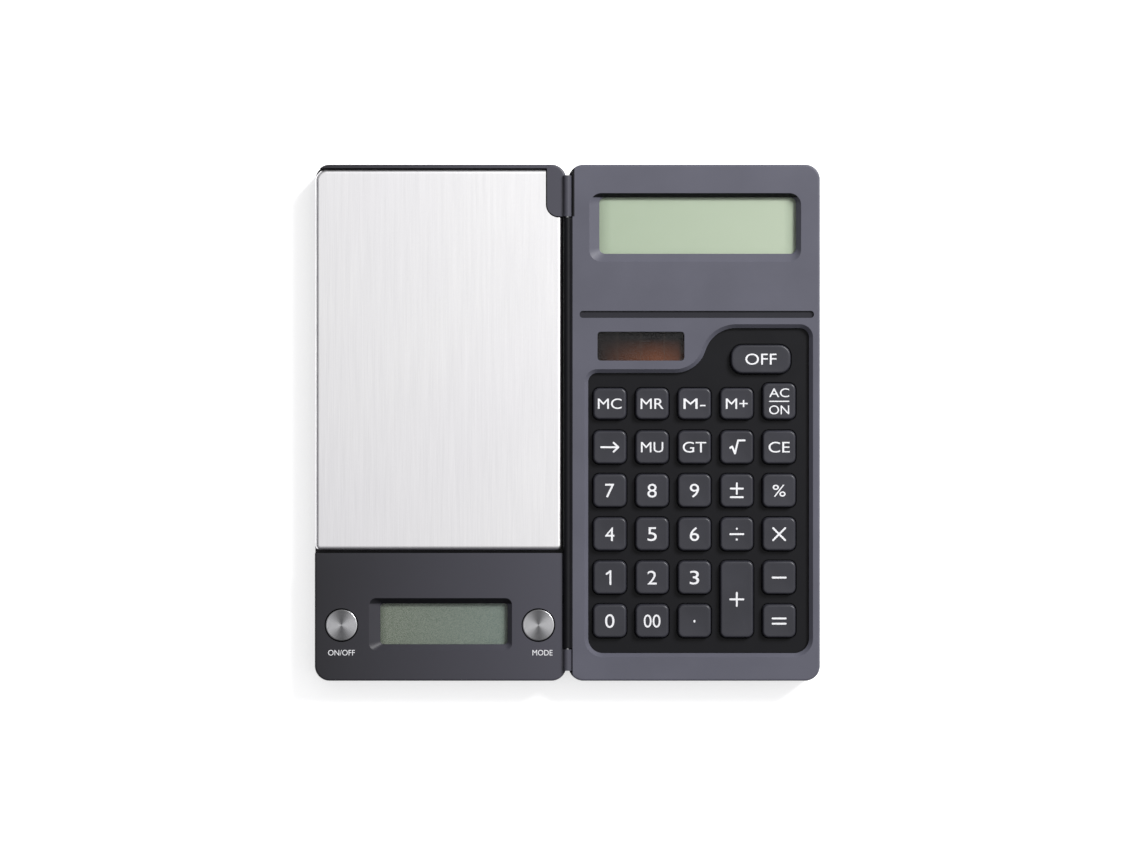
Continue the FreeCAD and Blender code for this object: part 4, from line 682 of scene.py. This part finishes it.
key_plastic = key_finish()
legend_ink = print_finish()
off_corner, key_corner = 3.2 * MM, 1.8 * MM
symbol_size, stroke_width = 3.5 * MM, 0.5 * MM
for key in sorted(node for node in nodes if node.startswith("key_") and node != "key_mat"):
    name = key.removeprefix("key_")
    low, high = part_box(key)
    corner = off_corner if name == "off" else key_corner
    cap = build(f"cap_{name}", *key_skin(low, high, corner), key_plastic, key, "key_plastic")
    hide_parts(key)
    x, y = (low.x + high.x) / 2, (low.y + high.y) / 2
    if name == "ac_on":
        wide, tall, drop = 5.4 * MM, 2.4 * MM, 2.3 * MM
        rule_length, rule_width = 5.2 * MM, 0.3 * MM
        points, faces = together([lettering("AC", x, y + drop, wide, tall),
                                  lettering("ON", x, y - drop, wide, tall),
                                  strokes(SYMBOLS["minus"], x, y, rule_length, rule_width)])
    elif name in SYMBOLS:
        points, faces = strokes(SYMBOLS[name], x, y, symbol_size, stroke_width)
    else:
        text, wide, tall = WORDS.get(name, (name, *DIGIT_SIZE))
        points, faces = lettering(text, x, y, wide * MM, tall * MM)
    build(f"legend_{name}", drape(points, low, high), faces, legend_ink, key, "key_plastic", smooth=False)


# ------------------------------------------------------------------------------------------
# Buttons of the scale. Two turned aluminium-look caps with fine concentric grooves in their
# tops, each captioned below in small print on the panel.

GROOVE = 0.32 * MM


def button_skin(low, high):
    """Flange, straight wall, rounded edge, then a crowned top with turned grooves.

    The grooves are a cosine of the radius, one wave to each GROOVE.
    """
    x, y = (low.x + high.x) / 2, (low.y + high.y) / 2
    flange = (high.x - low.x) / 2
    radius = flange - FLANGE
    seat = high.z - 2.1 * MM
    edge = 0.35 * MM
    bend = np.linspace(0, np.pi / 2, 6)
    inward = np.linspace(radius - edge, 0.1 * MM, 110)
    top = high.z - 0.08 * MM
    ripple = 0.013 * MM * np.cos(inward / GROOVE * 2 * np.pi)
    crown = 0.05 * MM * (1 - (inward / radius) ** 2)
    ring_radius = np.concatenate([[0.2 * flange, flange, flange, radius],
                                  radius - edge + edge * np.cos(bend), inward[1:]])
    height = np.concatenate([[seat, seat, seat + FLANGE, seat + FLANGE],
                             top - edge + edge * np.sin(bend), (top + ripple + crown)[1:]])
    return skin(turned(x, y, ring_radius, height, around=96))


def spun_finish(name, x, y):
    """Turned metal about (x, y): rings of slightly different polish, a painted bow-tie highlight either side.

    With d the offset from the centre, the painted highlight is (dx * dx - dy * dy) / (d . d), the cosine of
    twice the bearing.
    """
    finish = Finish(name, Metallic=1.0)
    along, across, _ = finish.axes()
    dx2, dy2 = (along - x).math("POWER", 2.0), (across - y).math("POWER", 2.0)
    painted_highlight = (dx2 - dy2) / (dx2 + dy2 + 1e-9)
    ring = ((dx2 + dy2).math("SQRT") / GROOVE).math("FRACT")
    scratch = finish.noise(0.2 * MM, detail=3)
    # Painted highlight: the bow-tie of light is set in the base colour, with the rings and scratches over it.
    painted_highlight_and_rings = finish.range(painted_highlight + (ring + scratch) * 0.35, -0.75, 1.25, 0.0, 1.0)
    finish.drive("Base Color", finish.mix(painted_highlight_and_rings, (0.12, 0.12, 0.125, 1), (0.52, 0.52, 0.535, 1)))
    finish.drive("Roughness", finish.range(ring, 0.0, 1.0, 0.26, 0.36))
    return finish


caption_drop, caption_height = 7.4 * MM, 1.5 * MM
for node, caption, shift, wide in (("power_button", "ON/OFF", 0.0, 7.2 * MM),
                                   ("mode_button", "MODE", 1.1 * MM, 5.4 * MM)):
    low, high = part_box(node)
    x, y = (low.x + high.x) / 2, (low.y + high.y) / 2
    spun = spun_finish(f"spun_{node}", x, y)
    cap = build(f"{node}_cap", *button_skin(low, high), spun, node, "spun_metal")
    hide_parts(node)
    points, faces = lettering(caption, x + shift, y - caption_drop, wide, caption_height)
    build(f"caption_{node}", points + (0, 0, face_top), faces, legend_ink, "scale_leaf",
          "panel_plastic", smooth=False)


# ------------------------------------------------------------------------------------------
# Weighing platform. A stainless sheet brushed along the hinge direction, with its edges bent
# down all round over the cover leaf's deck.


def brushed_finish():
    """Brushed stainless: long fine streaks along Y in tone and polish, over a slow warm and cool drift."""
    finish = Finish("brushed_plate", Metallic=1.0)
    fine = finish.noise(0.16 * MM, (1, 60, 1), detail=4, rough=0.6)
    broad = finish.noise(0.9 * MM, (1, 30, 1), detail=2)
    drift = finish.noise(45 * MM, detail=1)
    tone = finish.mix(drift, (0.84, 0.825, 0.85, 1), (0.89, 0.885, 0.88, 1))
    streak = finish.range(fine + broad * 0.6, 0.55, 1.05, 0.0, 0.3)
    finish.drive("Base Color", finish.mix(streak, tone, (0.55, 0.55, 0.57, 1)))
    finish.drive("Roughness", finish.range(fine, 0.3, 0.7, 0.34, 0.48))
    finish.bump(fine, 0.006 * MM)
    return finish


paint("weighing_platform", brushed_finish())


# ------------------------------------------------------------------------------------------
# Floor, light and camera. A plain white sweep, an overcast sky that is brightest overhead and to
# the right, one soft key light from the display end on the right, and a camera straight above.


def flat_sheet(name, half, z, finish):
    """A square sheet about the origin at one height."""
    corners = [(-half, -half, z), (half, -half, z), (half, half, z), (-half, half, z)]
    mesh = bpy.data.meshes.new(name)
    mesh.from_pydata(corners, [], [(0, 1, 2, 3)])
    sheet = bpy.data.objects.new(name, mesh)
    mesh.materials.append(finish.material)
    bpy.context.scene.collection.objects.link(sheet)


white_floor = Finish("white_floor", Roughness=0.9, Specular_IOR_Level=0.2, Emission_Strength=0.6)
cloudy = white_floor.noise(400 * MM, detail=1)
white_floor.drive("Base Color", white_floor.mix(cloudy, (0.84, 0.84, 0.84, 1), (0.87, 0.87, 0.87, 1)))
white_floor.drive("Emission Color", white_floor.mix(cloudy, (0.98, 0.98, 0.98, 1), (1, 1, 1, 1)))
flat_sheet("floor", 3.0, cad_low.z - 0.1 * MM, white_floor)

scene = bpy.context.scene
scene.view_settings.view_transform = "Standard"
sky = bpy.data.worlds.new("sky")
scene.world = sky
sky.use_nodes = True
sky_nodes, sky_links = sky.node_tree.nodes, sky.node_tree.links
direction = sky_nodes.new("ShaderNodeTexCoord")
towards = sky_nodes.new("ShaderNodeVectorMath")
towards.operation = "DOT_PRODUCT"
brightest = (0.30, 0.22, 0.93)
towards.inputs[1].default_value = brightest
ramp = sky_nodes.new("ShaderNodeValToRGB")
ramp.color_ramp.elements[0].position = 0.0
ramp.color_ramp.elements[0].color = (0.10, 0.10, 0.11, 1)
ramp.color_ramp.elements[1].position = 0.9
ramp.color_ramp.elements[1].color = (1.0, 1.0, 1.0, 1)
ramp.color_ramp.elements.new(0.7).color = (0.28, 0.28, 0.29, 1)
sky_links.new(direction.outputs["Generated"], towards.inputs[0])
sky_links.new(towards.outputs["Value"], ramp.inputs["Fac"])
sky_links.new(ramp.outputs["Color"], sky_nodes["Background"].inputs["Color"])
sky_nodes["Background"].inputs["Strength"].default_value = 1.0


def softbox(name, place, size, power):
    """A square area light that faces the middle of the object."""
    lamp = bpy.data.lights.new(name, "AREA")
    lamp.energy = power
    lamp.size = size
    light = bpy.data.objects.new(name, lamp)
    light.location = place
    light.rotation_euler = (-light.location).to_track_quat("-Z", "Y").to_euler()
    scene.collection.objects.link(light)


softbox("key_light", (0.58, 0.52, 0.70), 0.35, 14.5)

lens = bpy.data.cameras.new("camera")
lens.lens = 120
lens.sensor_width = 36
camera = bpy.data.objects.new("camera", lens)
scene.collection.objects.link(camera)
view_width = 306.4 * MM
camera_x, camera_y = 0.7 * MM, -1.3 * MM
distance = view_width * lens.lens / lens.sensor_width
camera.location = (camera_x, camera_y, cad_high.z + distance)
scene.camera = camera
